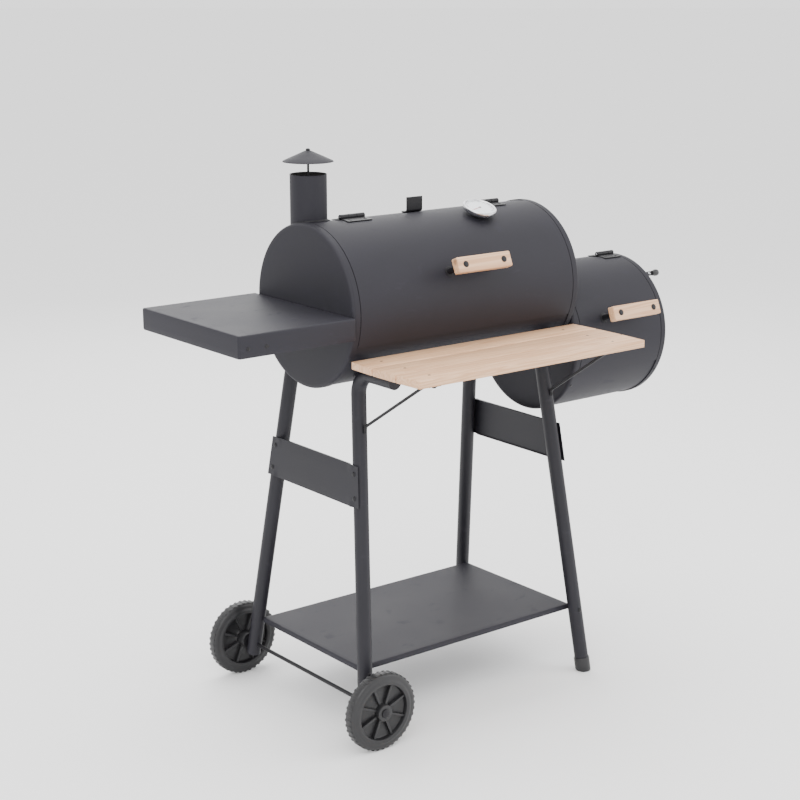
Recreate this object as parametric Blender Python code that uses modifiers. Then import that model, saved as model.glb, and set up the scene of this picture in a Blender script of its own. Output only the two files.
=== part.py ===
"""Offset smoker: a barrel with a side firebox, a chimney, shelves and a wheeled leg frame.

Metres, +Z up. The design frame has X along the barrel (firebox at +X), Y to the back and Z = 0 on
the ground. An empty shifts it so that the origin ends up at the middle of the base of the whole.
Angles round a drum start at the front (-Y) and rise over the top: 0 front, 90 top, 180 back.
"""

import math
from dataclasses import dataclass

import bmesh
import bpy
from mathutils import Matrix, Vector

# ---- driving sizes -------------------------------------------------------------------------------

SHEET = 0.0012  # steel sheet of drums, trays and cones
GAP = 0.0003  # left between pieces that touch
FIT = 0.0008  # between a lid or a cap flange and the sheet under it

BARREL_RADIUS = 0.1625
BARREL_LENGTH = 0.588
BARREL_AXIS_HEIGHT = 0.8485
FIREBOX_RADIUS = 0.158
FIREBOX_LENGTH = 0.2755
FIREBOX_AXIS_HEIGHT = 0.7085

CAP_FLANGE = 0.017  # width of an end cap's rim along the drum
CAP_EDGE_RADIUS = 0.007
LID_END_GAP = 0.0015  # between a lid's end and the cap flanges
LID_LOW_ANGLE = -22.0
LID_BACK_GAP = 0.0065  # from the hinge axis forward to a lid's back edge
LID_OVERLAP = 8.0  # degrees that a lid laps over the fixed sheet at the front
BARREL_LID_OPENS = 105.0

HINGE_PIN_RADIUS = 0.0020
HINGE_BORE_RADIUS = 0.0025
HINGE_KNUCKLE_RADIUS = 0.0050
HINGE_PIN_RISE = 0.0045  # pin axis above the lid's outer face
HINGE_LEAF_WIDTH = 0.026
HINGE_LEAF_SHEET = 0.0015
HINGE_LEAF_START = 0.0032  # leaf edge to pin axis
BARREL_HINGE_LENGTH = 0.060
FIREBOX_HINGE_LENGTH = 0.050
FIREBOX_HINGE_TO_RIM = 0.0015

HANDLE_LENGTH = 0.137
HANDLE_HEIGHT = 0.031
HANDLE_THICKNESS = 0.018
HANDLE_STANDOFF = 0.037
HANDLE_BOLT_SPACING = 0.098
BARREL_HANDLE_ANGLE = 23.0
FIREBOX_HANDLE_ANGLE = 21.0
BOLT_SHANK_RADIUS = 0.003
BOLT_HEAD_RADIUS = 0.006
BOLT_HEAD_DEPTH = 0.0035
STUD_SLEEVE_RADIUS = 0.0065

THERMOMETER_ANGLE = 70.0
THERMOMETER_X = 0.105
THERMOMETER_RADIUS = 0.035
THERMOMETER_DEPTH = 0.012
THERMOMETER_STANDOFF = 0.006
PROBE_RADIUS = 0.003
PROBE_LENGTH = 0.055
PROBE_NUT_RADIUS = 0.009

CHIMNEY_RADIUS = 0.0366
CHIMNEY_X = -0.2455
CHIMNEY_Y = 0.048
CHIMNEY_TOP = 1.0993
CHIMNEY_FLANGE = 0.006
CHIMNEY_TO_HINGE = 0.0029  # along the barrel
BARREL_HINGE_X = -CHIMNEY_X - CHIMNEY_RADIUS - CHIMNEY_TO_HINGE - BARREL_HINGE_LENGTH / 2
FIREBOX_HINGE_INSET = CAP_FLANGE + FIREBOX_HINGE_TO_RIM + FIREBOX_HINGE_LENGTH / 2
RAIN_CAP_RADIUS = 0.0503
RAIN_CAP_BRIM = 1.1226
RAIN_CAP_RISE = 0.0215
RAIN_CAP_NUT_RADIUS = 0.0048
RAIN_CAP_NUT_HEIGHT = 0.004
CAP_ROD_RADIUS = 0.0022
CAP_ROD_LENGTH = 0.088
CROSS_BAR_WIDTH = 0.012
CROSS_BAR_SHEET = 0.002
CROSS_BAR_DROP = 0.014

STOP_WIDTH = 0.040
STOP_RISE = 0.030
STOP_FOOT = 0.018
STOP_SHEET = 0.003
STOP_X = -0.0155

GRATE_BAR = 0.004
GRATE_PITCH = 0.018
GRATE_THICKNESS = 0.005
GRATE_CLEARANCE = 0.0006
COOKING_GRATE_DROP = 0.070
CHARCOAL_GRATE_DROP = 0.115
FIREBOX_GRATE_DROP = 0.090
GRATE_END_CLEARANCE = 0.004

WINDOW_WIDTH = 0.150
WINDOW_HEIGHT = 0.080

DAMPER_RADIUS = 0.045
DAMPER_SHEET = 0.0015
DAMPER_HOLE_RADIUS = 0.012
DAMPER_HOLE_RING = 0.028
DAMPER_HOLES = 3
DAMPER_ARM_WIDTH = 0.012
DAMPER_ARM_REACH = 0.1495
DAMPER_ARM_ANGLE = 55.0
DAMPER_TIP_OUT = 0.020
KNOB_RADIUS = 0.0075
KNOB_LENGTH = 0.018
PIVOT_SHANK_RADIUS = 0.003
PIVOT_HEAD_RADIUS = 0.007
PIVOT_HEAD_DEPTH = 0.004

LEG_RADIUS = 0.015
LEG_FOOT_LEFT_X = -0.3045
LEG_FOOT_RIGHT_X = 0.2924
LEG_FOOT_Y = 0.2092
LEG_LEAN_X = 0.0837  # metres inward for each metre up
LEG_LEAN_Y = 0.138
LEG_BEND_RADIUS = 0.038
LEG_ARM_FRONT_Y = -0.225
LEG_LUG_SHEET = 0.004
LEG_LUG_HEIGHT = 0.026
WHEELED_LEG_END = 0.058
FOOT_CAP_HEIGHT = 0.030
FOOT_CAP_WALL = 0.0016
FOOT_CAP_SOLE = 0.005

PANEL_HEIGHT = 0.082
PANEL_MIDDLE = 0.509
PANEL_SHEET = 0.0015
PANEL_PAST_LEG = 0.013

BOTTOM_SHELF_TOP = 0.146
BOTTOM_SHELF_LIP = 0.011

WHEEL_RADIUS = 0.080
WHEEL_WIDTH = 0.028
WHEEL_HUB_RADIUS = 0.017
WHEEL_HUB_LENGTH = 0.0462
WHEEL_HUB_TO_LEG = 0.00215
WHEEL_TREAD_INSET = 0.0147  # hub's inner end to the tread
LEG_FACE_AT_HUB_Y = (
    LEG_FOOT_Y - LEG_LEAN_Y * (WHEEL_RADIUS - WHEEL_HUB_RADIUS) + LEG_RADIUS * math.hypot(1, LEG_LEAN_Y)
)
WHEEL_HUB_INNER_Y = LEG_FACE_AT_HUB_Y + WHEEL_HUB_TO_LEG
WHEEL_HUB_OUTER_Y = WHEEL_HUB_INNER_Y + WHEEL_HUB_LENGTH
WHEEL_TREAD_INNER_Y = WHEEL_HUB_INNER_Y + WHEEL_TREAD_INSET
WHEEL_WEB = 0.005
WHEEL_RIM_RADIUS = 0.056
AXLE_RADIUS = 0.004
AXLE_CLEARANCE = 0.0005
AXLE_HEAD_RADIUS = 0.0095
AXLE_HEAD_DEPTH = 0.005

SLAT_COUNT = 3
SLAT_GAP = 0.003
SLAT_THICKNESS = 0.015
SHELF_FRONT_Y = -0.3614
SHELF_BACK_GAP = 0.0085  # between the rear slat and the barrel
SHELF_TOP = 0.7643
SHELF_CORNER_RADIUS = 0.012
RAIL_WIDTH = 0.024
RAIL_SHEET = 0.003
RAIL_FRONT_INSET = 0.012
BRACE_RADIUS = 0.003
BRACE_LOW_HEIGHT = 0.627
BRACE_FRONT_INSET = 0.032
BRACE_FOOT = 0.012

TRAY_LENGTH = 0.2633
TRAY_HALF_WIDTH = 0.1719
TRAY_TOP = 0.8513
TRAY_LIP = 0.0432
TRAY_CORNER_RADIUS = 0.006

DRUM_STEP = 5.6  # degrees of drum for each facet

PAINT = ((0.035, 0.036, 0.040), 0.55, 0.35)
STEEL = ((0.45, 0.45, 0.46), 0.35, 1.0)
WOOD = ((0.72, 0.50, 0.32), 0.60, 0.0)
PLASTIC = ((0.02, 0.02, 0.022), 0.50, 0.0)
CAST = ((0.09, 0.09, 0.09), 0.65, 0.6)


@dataclass(frozen=True)
class Drum:
    """A closed drum along X: a fixed sheet, two end caps and a hinged lid."""

    name: str
    radius: float
    left: float
    right: float
    height: float

    @property
    def middle(self):
        return (self.left + self.right) / 2

    @property
    def sheet_outside(self):
        """Outer radius of the fixed sheet, which the lid and the cap flanges fit over."""
        return self.radius - SHEET - FIT

    @property
    def clear_radius(self):
        """Radius of a cutter whose facets stay a gap outside the fixed sheet."""
        return (self.sheet_outside + GAP) / math.cos(math.pi / CUTTER_SIDES)

    @property
    def pin_height(self):
        return self.height + self.radius + HINGE_PIN_RISE


CUTTER_SIDES = 48
BARREL = Drum("barrel", BARREL_RADIUS, -BARREL_LENGTH / 2, BARREL_LENGTH / 2, BARREL_AXIS_HEIGHT)
FIREBOX = Drum(
    "firebox",
    FIREBOX_RADIUS,
    BARREL.right + GAP * 2,
    BARREL.right + GAP * 2 + FIREBOX_LENGTH,
    FIREBOX_AXIS_HEIGHT,
)

# ---- extents, for the origin at the middle of the base --------------------------------------------

TRAY_LEFT_X = BARREL.left - GAP - TRAY_LENGTH
DAMPER_FACE_X = FIREBOX.right + GAP
KNOB_END_X = DAMPER_FACE_X + DAMPER_SHEET + DAMPER_TIP_OUT + GAP + KNOB_LENGTH
AXLE_END_Y = WHEEL_HUB_OUTER_Y + GAP + AXLE_HEAD_DEPTH
ORIGIN = Vector(((TRAY_LEFT_X + KNOB_END_X) / 2, (SHELF_FRONT_Y + AXLE_END_Y) / 2, 0))


# ---- scene and object helpers ---------------------------------------------------------------------


def clear_scene():
    for obj in list(bpy.data.objects):
        bpy.data.objects.remove(obj)


def new_collection(name):
    group = bpy.data.collections.new(name)
    bpy.context.scene.collection.children.link(group)
    return group


def new_empty(name, at, parent=None, turn=(0, 0, 0)):
    empty = bpy.data.objects.new(name, None)
    PARTS.objects.link(empty)
    empty.location = at
    empty.rotation_euler = turn
    empty.parent = parent
    return empty


def own_material(name, finish):
    colour, roughness, metallic = finish
    made = bpy.data.materials.new(name)
    made.use_nodes = True
    shader = made.node_tree.nodes["Principled BSDF"]
    shader.inputs["Base Color"].default_value = (*colour, 1)
    shader.inputs["Roughness"].default_value = roughness
    shader.inputs["Metallic"].default_value = metallic
    return made


def piece(name, mesh, finish, at=(0, 0, 0), parent=None, turn=(0, 0, 0)):
    """A sub-part: a named object with its own material."""
    obj = bpy.data.objects.new(name, mesh)
    PARTS.objects.link(obj)
    obj.location = at
    obj.rotation_euler = turn
    obj.parent = parent or ROOT
    mesh.materials.append(own_material(name + "_finish", finish))
    return obj


def tool(name, mesh, at=(0, 0, 0), parent=None, turn=(0, 0, 0)):
    """A helper that cuts or joins a sub-part, and isn't one itself."""
    obj = bpy.data.objects.new(name, mesh)
    TOOLS.objects.link(obj)
    obj.location = at
    obj.rotation_euler = turn
    obj.parent = parent or ROOT
    obj.hide_render = True
    obj.display_type = "WIRE"
    return obj


def boolean(obj, other, operation):
    modifier = obj.modifiers.new(operation.lower() + "_" + other.name, "BOOLEAN")
    modifier.operation = operation
    modifier.object = other
    modifier.solver = "EXACT"


def thicken(obj, wall=SHEET):
    """Turns an open surface into a sheet with the surface at its middle."""
    modifier = obj.modifiers.new("wall", "SOLIDIFY")
    modifier.thickness = wall
    modifier.offset = 0
    modifier.use_even_offset = True


def revolve(obj, axis="Z", angle=360.0, steps=48):
    modifier = obj.modifiers.new("turned", "SCREW")
    modifier.axis = axis
    modifier.angle = math.radians(angle)
    modifier.steps = steps
    modifier.render_steps = steps
    modifier.use_merge_vertices = abs(angle) == 360
    modifier.merge_threshold = 0.0001
    modifier.use_smooth_shade = True


def smooth(mesh, angle=35.0):
    mesh.shade_smooth()
    mesh.set_sharp_from_angle(angle=math.radians(angle))


# ---- mesh makers ----------------------------------------------------------------------------------


def from_bmesh(shape, name):
    mesh = bpy.data.meshes.new(name)
    shape.to_mesh(mesh)
    shape.free()
    return mesh


def block(x, y, z):
    shape = bmesh.new()
    bmesh.ops.create_cube(shape, size=1, matrix=Matrix.Diagonal((x, y, z, 1)))
    return from_bmesh(shape, "block")


def blocks(sizes_and_places):
    """Several separate boxes in one mesh, for a cutter."""
    shape = bmesh.new()
    for size, place in sizes_and_places:
        where = Matrix.Translation(place) @ Matrix.Diagonal((*size, 1))
        bmesh.ops.create_cube(shape, size=1, matrix=where)
    return from_bmesh(shape, "blocks")


def rounded_block(x, y, z, radius, segments=3):
    """A box whose upright edges are rounded."""
    shape = bmesh.new()
    bmesh.ops.create_cube(shape, size=1, matrix=Matrix.Diagonal((x, y, z, 1)))
    upright = [e for e in shape.edges if abs(e.verts[0].co.z - e.verts[1].co.z) > z / 2]
    bmesh.ops.bevel(shape, geom=upright, offset=radius, segments=segments, affect="EDGES", profile=0.5)
    return from_bmesh(shape, "rounded_block")


TURN_TO = {
    "X": Matrix.Rotation(math.pi / 2, 4, "Y"),
    "Y": Matrix.Rotation(math.pi / 2, 4, "X"),
    "Z": Matrix.Identity(4),
}


def cylinder(radius, length, sides=24, axis="Z", end_radius=None):
    shape = bmesh.new()
    bmesh.ops.create_cone(
        shape,
        cap_ends=True,
        segments=sides,
        radius1=radius,
        radius2=radius if end_radius is None else end_radius,
        depth=length,
        matrix=TURN_TO[axis],
    )
    mesh = from_bmesh(shape, "cylinder")
    smooth(mesh)
    return mesh


def cylinders(radius, length, places, sides=24, axis="Z"):
    """Several separate cylinders in one mesh, for a cutter."""
    shape = bmesh.new()
    for place in places:
        bmesh.ops.create_cone(
            shape,
            cap_ends=True,
            segments=sides,
            radius1=radius,
            radius2=radius,
            depth=length,
            matrix=Matrix.Translation(place) @ TURN_TO[axis],
        )
    return from_bmesh(shape, "cylinders")


def outline(points, closed=False):
    """A line of points for a Screw modifier to turn."""
    mesh = bpy.data.meshes.new("outline")
    edges = [(i, i + 1) for i in range(len(points) - 1)]
    if closed:
        edges.append((len(points) - 1, 0))
    mesh.from_pydata([Vector(p) for p in points], edges, [])
    return mesh


def tray_surface(x, y, lip, radius):
    """An open pan: a flat top with a lip turned down all round, its top at local Z = 0."""
    shape = bmesh.new()
    place = Matrix.Translation((0, 0, -lip / 2)) @ Matrix.Diagonal((x, y, lip, 1))
    bmesh.ops.create_cube(shape, size=1, matrix=place)
    under = [f for f in shape.faces if f.normal.z < -0.5]
    bmesh.ops.delete(shape, geom=under, context="FACES_ONLY")
    folds = [e for e in shape.edges if len(e.link_faces) == 2]
    bmesh.ops.bevel(shape, geom=folds, offset=radius, segments=3, affect="EDGES", profile=0.5)
    return from_bmesh(shape, "tray")


def rounded_path(points, radius, steps=6):
    """The polyline with each inner corner replaced by an arc of the given radius."""
    points = [Vector(p) for p in points]
    path = [points[0]]
    for before, corner, after in zip(points, points[1:], points[2:]):
        into = (corner - before).normalized()
        out = (after - corner).normalized()
        turn = into.angle(out)
        reach = radius * math.tan(turn / 2)
        start = corner - into * reach
        inward = (out - into * into.dot(out)).normalized()
        centre = start + inward * radius
        for step in range(steps + 1):
            angle = turn * step / steps
            path.append(centre - inward * radius * math.cos(angle) + into * radius * math.sin(angle))
    path.append(points[-1])
    return path


def swept(points, radius, caps, resolution):
    """A round bar or an open tube surface along the points, as a mesh."""
    curve = bpy.data.curves.new("path", "CURVE")
    curve.dimensions = "3D"
    curve.bevel_depth = radius
    curve.bevel_resolution = resolution
    curve.use_fill_caps = caps
    spline = curve.splines.new("POLY")
    spline.points.add(len(points) - 1)
    for target, point in zip(spline.points, points):
        target.co = (*point, 1)
    holder = bpy.data.objects.new("path", curve)
    bpy.context.scene.collection.objects.link(holder)
    bpy.context.view_layer.update()
    mesh = bpy.data.meshes.new_from_object(holder.evaluated_get(bpy.context.evaluated_depsgraph_get()))
    bpy.data.objects.remove(holder)
    shape = bmesh.new()
    shape.from_mesh(mesh)
    bmesh.ops.remove_doubles(shape, verts=shape.verts, dist=0.00001)
    shape.to_mesh(mesh)
    shape.free()
    mesh.materials.clear()
    smooth(mesh)
    return mesh


def radial(angle):
    """Turn about X that carries local -Y to the given angle round a drum."""
    return (-math.radians(angle), 0, 0)


def at_angle(radius, angle):
    """(y, z) from a drum's axis of a point at this radius and angle."""
    return -radius * math.cos(math.radians(angle)), radius * math.sin(math.radians(angle))


# ---- drums ----------------------------------------------------------------------------------------


def build_end_cap(drum, side):
    """A pressed pan: a flat disc, a rounded edge and a rim over the end of the fixed sheet."""
    sign = -1 if side == "left" else 1
    face = drum.left if side == "left" else drum.right
    middle = SHEET / 2
    rim = drum.radius - middle
    bend = CAP_EDGE_RADIUS - middle
    points = [(-sign * middle, 0, 0.0), (-sign * middle, 0, rim - bend)]
    for step in range(1, 3):
        angle = math.radians(45 * step)
        along = middle + bend - bend * math.cos(angle)
        points.append((-sign * along, 0, rim - bend + bend * math.sin(angle)))
    points.append((-sign * CAP_FLANGE, 0, rim))
    cap = piece(f"{drum.name}_end_cap_{side}", outline(points), PAINT, (face, 0, drum.height))
    revolve(cap, "X", 360.0, CUTTER_SIDES)
    thicken(cap)
    return cap


def sheet_arc(name, drum, low, high, radius, left, right, parent, at):
    """A bent sheet between two angles, as an arc turned about the drum's axis."""
    y, z = at_angle(radius, low)
    arc = piece(name, outline([(left, y, z), (right, y, z)]), PAINT, at, parent)
    revolve(arc, "X", low - high, max(8, round(abs(high - low) / DRUM_STEP)))
    thicken(arc)
    return arc


def lid_back_angle(drum):
    return 90.0 - math.degrees(math.asin(LID_BACK_GAP / drum.radius))


def build_drum(drum):
    """The fixed sheet, both caps and the lid on its pivot. Returns them by name."""
    inset = CAP_EDGE_RADIUS + 0.0005
    shell = sheet_arc(
        f"{drum.name}_shell",
        drum,
        LID_LOW_ANGLE + LID_OVERLAP,
        lid_back_angle(drum) - LID_OVERLAP / 2 - 360.0,
        drum.sheet_outside - SHEET / 2,
        drum.left + inset,
        drum.right - inset,
        ROOT,
        (0, 0, drum.height),
    )
    caps = {side: build_end_cap(drum, side) for side in ("left", "right")}
    pivot = new_empty(f"{drum.name}_lid_pivot", (0, 0, drum.pin_height), ROOT)
    lid = sheet_arc(
        f"{drum.name}_lid",
        drum,
        LID_LOW_ANGLE,
        lid_back_angle(drum),
        drum.radius - SHEET / 2,
        drum.left + CAP_FLANGE + LID_END_GAP,
        drum.right - CAP_FLANGE - LID_END_GAP,
        pivot,
        (0, 0, drum.height - drum.pin_height),
    )
    return {"shell": shell, "caps": caps, "lid": lid, "pivot": pivot}


def build_hinge(drum, pivot, label, x, length):
    """Two leaves round one pin: three knuckles, the middle one on the lid's leaf."""
    third = length / 3
    knuckle_gap = 0.0004
    far = HINGE_LEAF_START + HINGE_LEAF_WIDTH
    for kind, side, seat, near, parent in (
        ("lid_leaf", -1, drum.radius, HINGE_LEAF_START, pivot),
        ("base_leaf", 1, drum.sheet_outside, 0.0, None),
    ):
        slope = math.asin((near + far) / 2 / drum.radius)
        rest = seat + GAP + HINGE_LEAF_SHEET / 2
        lift = 0 if parent is None else -drum.pin_height
        leaf = piece(
            f"{drum.name}_hinge_{kind}_{label}",
            block(length, far - near, HINGE_LEAF_SHEET),
            PAINT,
            (x, side * rest * math.sin(slope), drum.height + lift + rest * math.cos(slope)),
            parent,
            (-side * slope, 0, 0),
        )
        offsets = [0.0] if kind == "lid_leaf" else [-third, third]
        width = third - knuckle_gap
        for offset in offsets:
            name = f"{leaf.name}_knuckle_{'middle' if offset == 0 else 'left' if offset < 0 else 'right'}"
            place = (x + offset, 0, drum.pin_height + lift)
            knuckle = tool(name, cylinder(HINGE_KNUCKLE_RADIUS, width, 16, "X"), place, parent)
            boolean(leaf, knuckle, "UNION")
        reach = HINGE_LEAF_START + HINGE_KNUCKLE_RADIUS
        others = [-third, third] if kind == "lid_leaf" else [0.0]
        notches = [((third + knuckle_gap, reach * 2, 0.02), (offset, 0, 0)) for offset in others]
        notch = tool(f"{leaf.name}_notch", blocks(notches), (x, 0, drum.pin_height + lift), parent)
        boolean(leaf, notch, "DIFFERENCE")
        bore = cylinder(HINGE_BORE_RADIUS, length * 1.2, 16, "X")
        boolean(leaf, tool(f"{leaf.name}_bore", bore, (x, 0, drum.pin_height + lift), parent), "DIFFERENCE")
    pin = cylinder(HINGE_PIN_RADIUS, length, 16, "X")
    piece(f"{drum.name}_hinge_pin_{label}", pin, STEEL, (x, 0, drum.pin_height))


def build_handle(drum, pivot, angle):
    """A wooden bar held off the lid by two sleeved bolts."""
    frame = new_empty(
        f"{drum.name}_handle_frame",
        (drum.middle, 0, drum.height - drum.pin_height),
        pivot,
        radial(angle),
    )
    back = -(drum.radius + HANDLE_STANDOFF)
    front = back - HANDLE_THICKNESS
    bar = piece(
        f"{drum.name}_handle_bar",
        rounded_block(HANDLE_LENGTH, HANDLE_HEIGHT, HANDLE_THICKNESS, 0.003, 2),
        WOOD,
        (0, (back + front) / 2, 0),
        frame,
        (math.pi / 2, 0, 0),
    )
    xs = [-HANDLE_BOLT_SPACING / 2, HANDLE_BOLT_SPACING / 2]
    bores = cylinders(BOLT_SHANK_RADIUS + GAP, 0.2, [(x, back, 0) for x in xs], 16, "Y")
    boolean(bar, tool(f"{bar.name}_bores", bores, parent=frame), "DIFFERENCE")
    seat = BOLT_HEAD_DEPTH + GAP
    sinks = cylinders(BOLT_HEAD_RADIUS + GAP, seat * 2, [(x, front, 0) for x in xs], 16, "Y")
    boolean(bar, tool(f"{bar.name}_sinks", sinks, parent=frame), "DIFFERENCE")
    foot = -(drum.radius + GAP)
    sleeve_end = back + GAP
    for label, x in zip(("left", "right"), xs):
        sleeve = foot - sleeve_end
        stud = piece(
            f"{drum.name}_handle_stud_{label}",
            cylinder(STUD_SLEEVE_RADIUS, sleeve, 16, "Y"),
            STEEL,
            (x, (foot + sleeve_end) / 2, 0),
            frame,
        )
        head_back = front + BOLT_HEAD_DEPTH
        shank = (sleeve_end + 0.002) - head_back
        middle = (sleeve_end + 0.002 + head_back) / 2
        shank_tool = tool(
            f"{stud.name}_shank", cylinder(BOLT_SHANK_RADIUS, shank + 0.001, 16, "Y"), (x, middle, 0), frame
        )
        boolean(stud, shank_tool, "UNION")
        head_middle = front + BOLT_HEAD_DEPTH / 2
        head = cylinder(BOLT_HEAD_RADIUS, BOLT_HEAD_DEPTH, 16, "Y")
        boolean(stud, tool(f"{stud.name}_head", head, (x, head_middle, 0), frame), "UNION")


def build_thermometer(lid, pivot):
    """A round dial on the lid with a probe through it."""
    frame = new_empty(
        "thermometer_frame",
        (THERMOMETER_X, 0, BARREL.height - BARREL.pin_height),
        pivot,
        radial(THERMOMETER_ANGLE),
    )
    back = BARREL.radius + THERMOMETER_STANDOFF
    case = [
        (0.0, 0, THERMOMETER_DEPTH),
        (THERMOMETER_RADIUS - 0.002, 0, THERMOMETER_DEPTH),
        (THERMOMETER_RADIUS, 0, THERMOMETER_DEPTH - 0.002),
        (THERMOMETER_RADIUS, 0, 0.004),
        (THERMOMETER_RADIUS - 0.006, 0, 0.0),
        (0.0, 0, 0.0),
    ]
    dial = piece("thermometer_case", outline(case), STEEL, (0, -back, 0), frame, (math.pi / 2, 0, 0))
    revolve(dial, "Z", 360.0, 32)
    nut_foot = BARREL.radius + GAP
    nut_depth = THERMOMETER_STANDOFF - 2 * GAP
    probe = piece(
        "thermometer_probe",
        cylinder(PROBE_NUT_RADIUS, nut_depth, 6, "Y"),
        STEEL,
        (0, -(nut_foot + nut_depth / 2), 0),
        frame,
    )
    rod = cylinder(PROBE_RADIUS, PROBE_LENGTH, 16, "Y")
    rod_middle = nut_foot + nut_depth / 2 - PROBE_LENGTH / 2
    boolean(probe, tool("thermometer_probe_rod", rod, (0, -rod_middle, 0), frame), "UNION")
    hole = cylinder(PROBE_RADIUS + GAP, 0.02, 16, "Y")
    boolean(lid, tool("thermometer_hole", hole, (0, -BARREL.radius, 0), frame), "DIFFERENCE")


def build_chimney(shell, cap_below):
    """A short pipe with a saddle flange on the fixed sheet, and a rain cap that slides in a cross bar."""
    low = BARREL.height
    pipe_length = CHIMNEY_TOP - low
    flange = piece(
        "chimney_pipe",
        cylinder(CHIMNEY_RADIUS + CHIMNEY_FLANGE, BARREL.radius * 1.2, 32),
        PAINT,
        (CHIMNEY_X, CHIMNEY_Y, low + BARREL.radius * 0.6),
    )
    centre = (0, 0, BARREL.height)
    outer = cylinder(BARREL.clear_radius + 0.0018, 1.0, CUTTER_SIDES, "X")
    boolean(flange, tool("chimney_flange_limit", outer, centre), "INTERSECT")
    pipe_middle = (CHIMNEY_X, CHIMNEY_Y, low + pipe_length / 2)
    solid_pipe = cylinder(CHIMNEY_RADIUS, pipe_length, 32)
    boolean(flange, tool("chimney_pipe_solid", solid_pipe, pipe_middle), "UNION")
    bore = cylinder(CHIMNEY_RADIUS - SHEET, pipe_length * 2, 32)
    boolean(flange, tool("chimney_bore", bore, pipe_middle), "DIFFERENCE")
    boolean(flange, BARREL_CLEARANCE, "DIFFERENCE")
    hole = cylinder(CHIMNEY_RADIUS - SHEET, 0.1, 32)
    boolean(shell, tool("chimney_hole", hole, (CHIMNEY_X, CHIMNEY_Y, low + BARREL.radius)), "DIFFERENCE")

    bite = cylinder(CHIMNEY_RADIUS + CHIMNEY_FLANGE + 0.001, 0.1, 32)
    boolean(cap_below, tool("chimney_bite", bite, (CHIMNEY_X, CHIMNEY_Y, low + BARREL.radius)), "DIFFERENCE")

    bar_height = CHIMNEY_TOP - CROSS_BAR_DROP
    inside = CHIMNEY_RADIUS - SHEET - 0.0008
    bar_length = 2 * math.sqrt(inside**2 - (CROSS_BAR_WIDTH / 2) ** 2)
    bar = piece(
        "chimney_cross_bar",
        block(bar_length, CROSS_BAR_WIDTH, CROSS_BAR_SHEET),
        PAINT,
        (CHIMNEY_X, CHIMNEY_Y, bar_height),
    )
    guide = cylinder(CAP_ROD_RADIUS + GAP, 0.02, 16)
    boolean(bar, tool("chimney_rod_guide", guide, (CHIMNEY_X, CHIMNEY_Y, bar_height)), "DIFFERENCE")

    pivot = new_empty("rain_cap_slide", (CHIMNEY_X, CHIMNEY_Y, RAIN_CAP_BRIM), ROOT)
    hole_radius = CAP_ROD_RADIUS + GAP + SHEET / 2
    slant = [
        (hole_radius, 0, RAIN_CAP_RISE),
        (0.007, 0, RAIN_CAP_RISE - 0.001),
        (RAIN_CAP_RADIUS - SHEET / 2, 0, SHEET / 2),
    ]
    cap = piece("chimney_rain_cap", outline(slant), PAINT, (0, 0, 0), pivot)
    revolve(cap, "Z", 360.0, 32)
    thicken(cap, SHEET)
    nut_low = RAIN_CAP_RISE + SHEET / 2 + GAP
    rod = piece(
        "chimney_cap_rod",
        cylinder(CAP_ROD_RADIUS, CAP_ROD_LENGTH, 16),
        STEEL,
        (0, 0, nut_low + RAIN_CAP_NUT_HEIGHT / 2 - CAP_ROD_LENGTH / 2),
        pivot,
    )
    nut = cylinder(RAIN_CAP_NUT_RADIUS, RAIN_CAP_NUT_HEIGHT, 6)
    nut_middle = (0, 0, nut_low + RAIN_CAP_NUT_HEIGHT / 2)
    boolean(rod, tool("chimney_cap_nut", nut, nut_middle, pivot), "UNION")
    collar_high = RAIN_CAP_RISE - SHEET / 2 - GAP - 0.001
    collar = cylinder(RAIN_CAP_NUT_RADIUS, 0.003, 12)
    boolean(rod, tool("chimney_cap_collar", collar, (0, 0, collar_high - 0.0015), pivot), "UNION")


def stop_face_y():
    """How far behind the pins the stop stands, so that the open lid just leans on its top edge."""
    tilt = math.radians(BARREL_LID_OPENS - 90.0)
    reach = BARREL.radius + HINGE_PIN_RISE
    top = STOP_RISE - HINGE_PIN_RISE
    drop = top - reach * math.sin(tilt)
    return -reach * math.cos(tilt) + math.sqrt(BARREL.radius**2 - drop**2)


def build_lid_stop():
    """A bent strip on the fixed sheet behind the hinges that the open lid leans on."""
    face = stop_face_y() + 2 * GAP + FIT
    top = BARREL.height + BARREL.radius + STOP_RISE
    low = BARREL.height + BARREL.radius * 0.8
    stop = piece(
        "lid_stop",
        block(STOP_WIDTH, STOP_SHEET, top - low),
        PAINT,
        (STOP_X, face + STOP_SHEET / 2, (top + low) / 2),
    )
    foot_limit = cylinder(BARREL.clear_radius + STOP_SHEET, 1.0, CUTTER_SIDES, "X")
    foot = tool(
        "lid_stop_foot",
        block(STOP_WIDTH, STOP_FOOT, 0.06),
        (STOP_X, face + STOP_FOOT / 2, BARREL.height + BARREL.radius),
    )
    boolean(foot, tool("lid_stop_foot_limit", foot_limit, (0, 0, BARREL.height)), "INTERSECT")
    boolean(stop, foot, "UNION")
    boolean(stop, BARREL_CLEARANCE, "DIFFERENCE")


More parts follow.
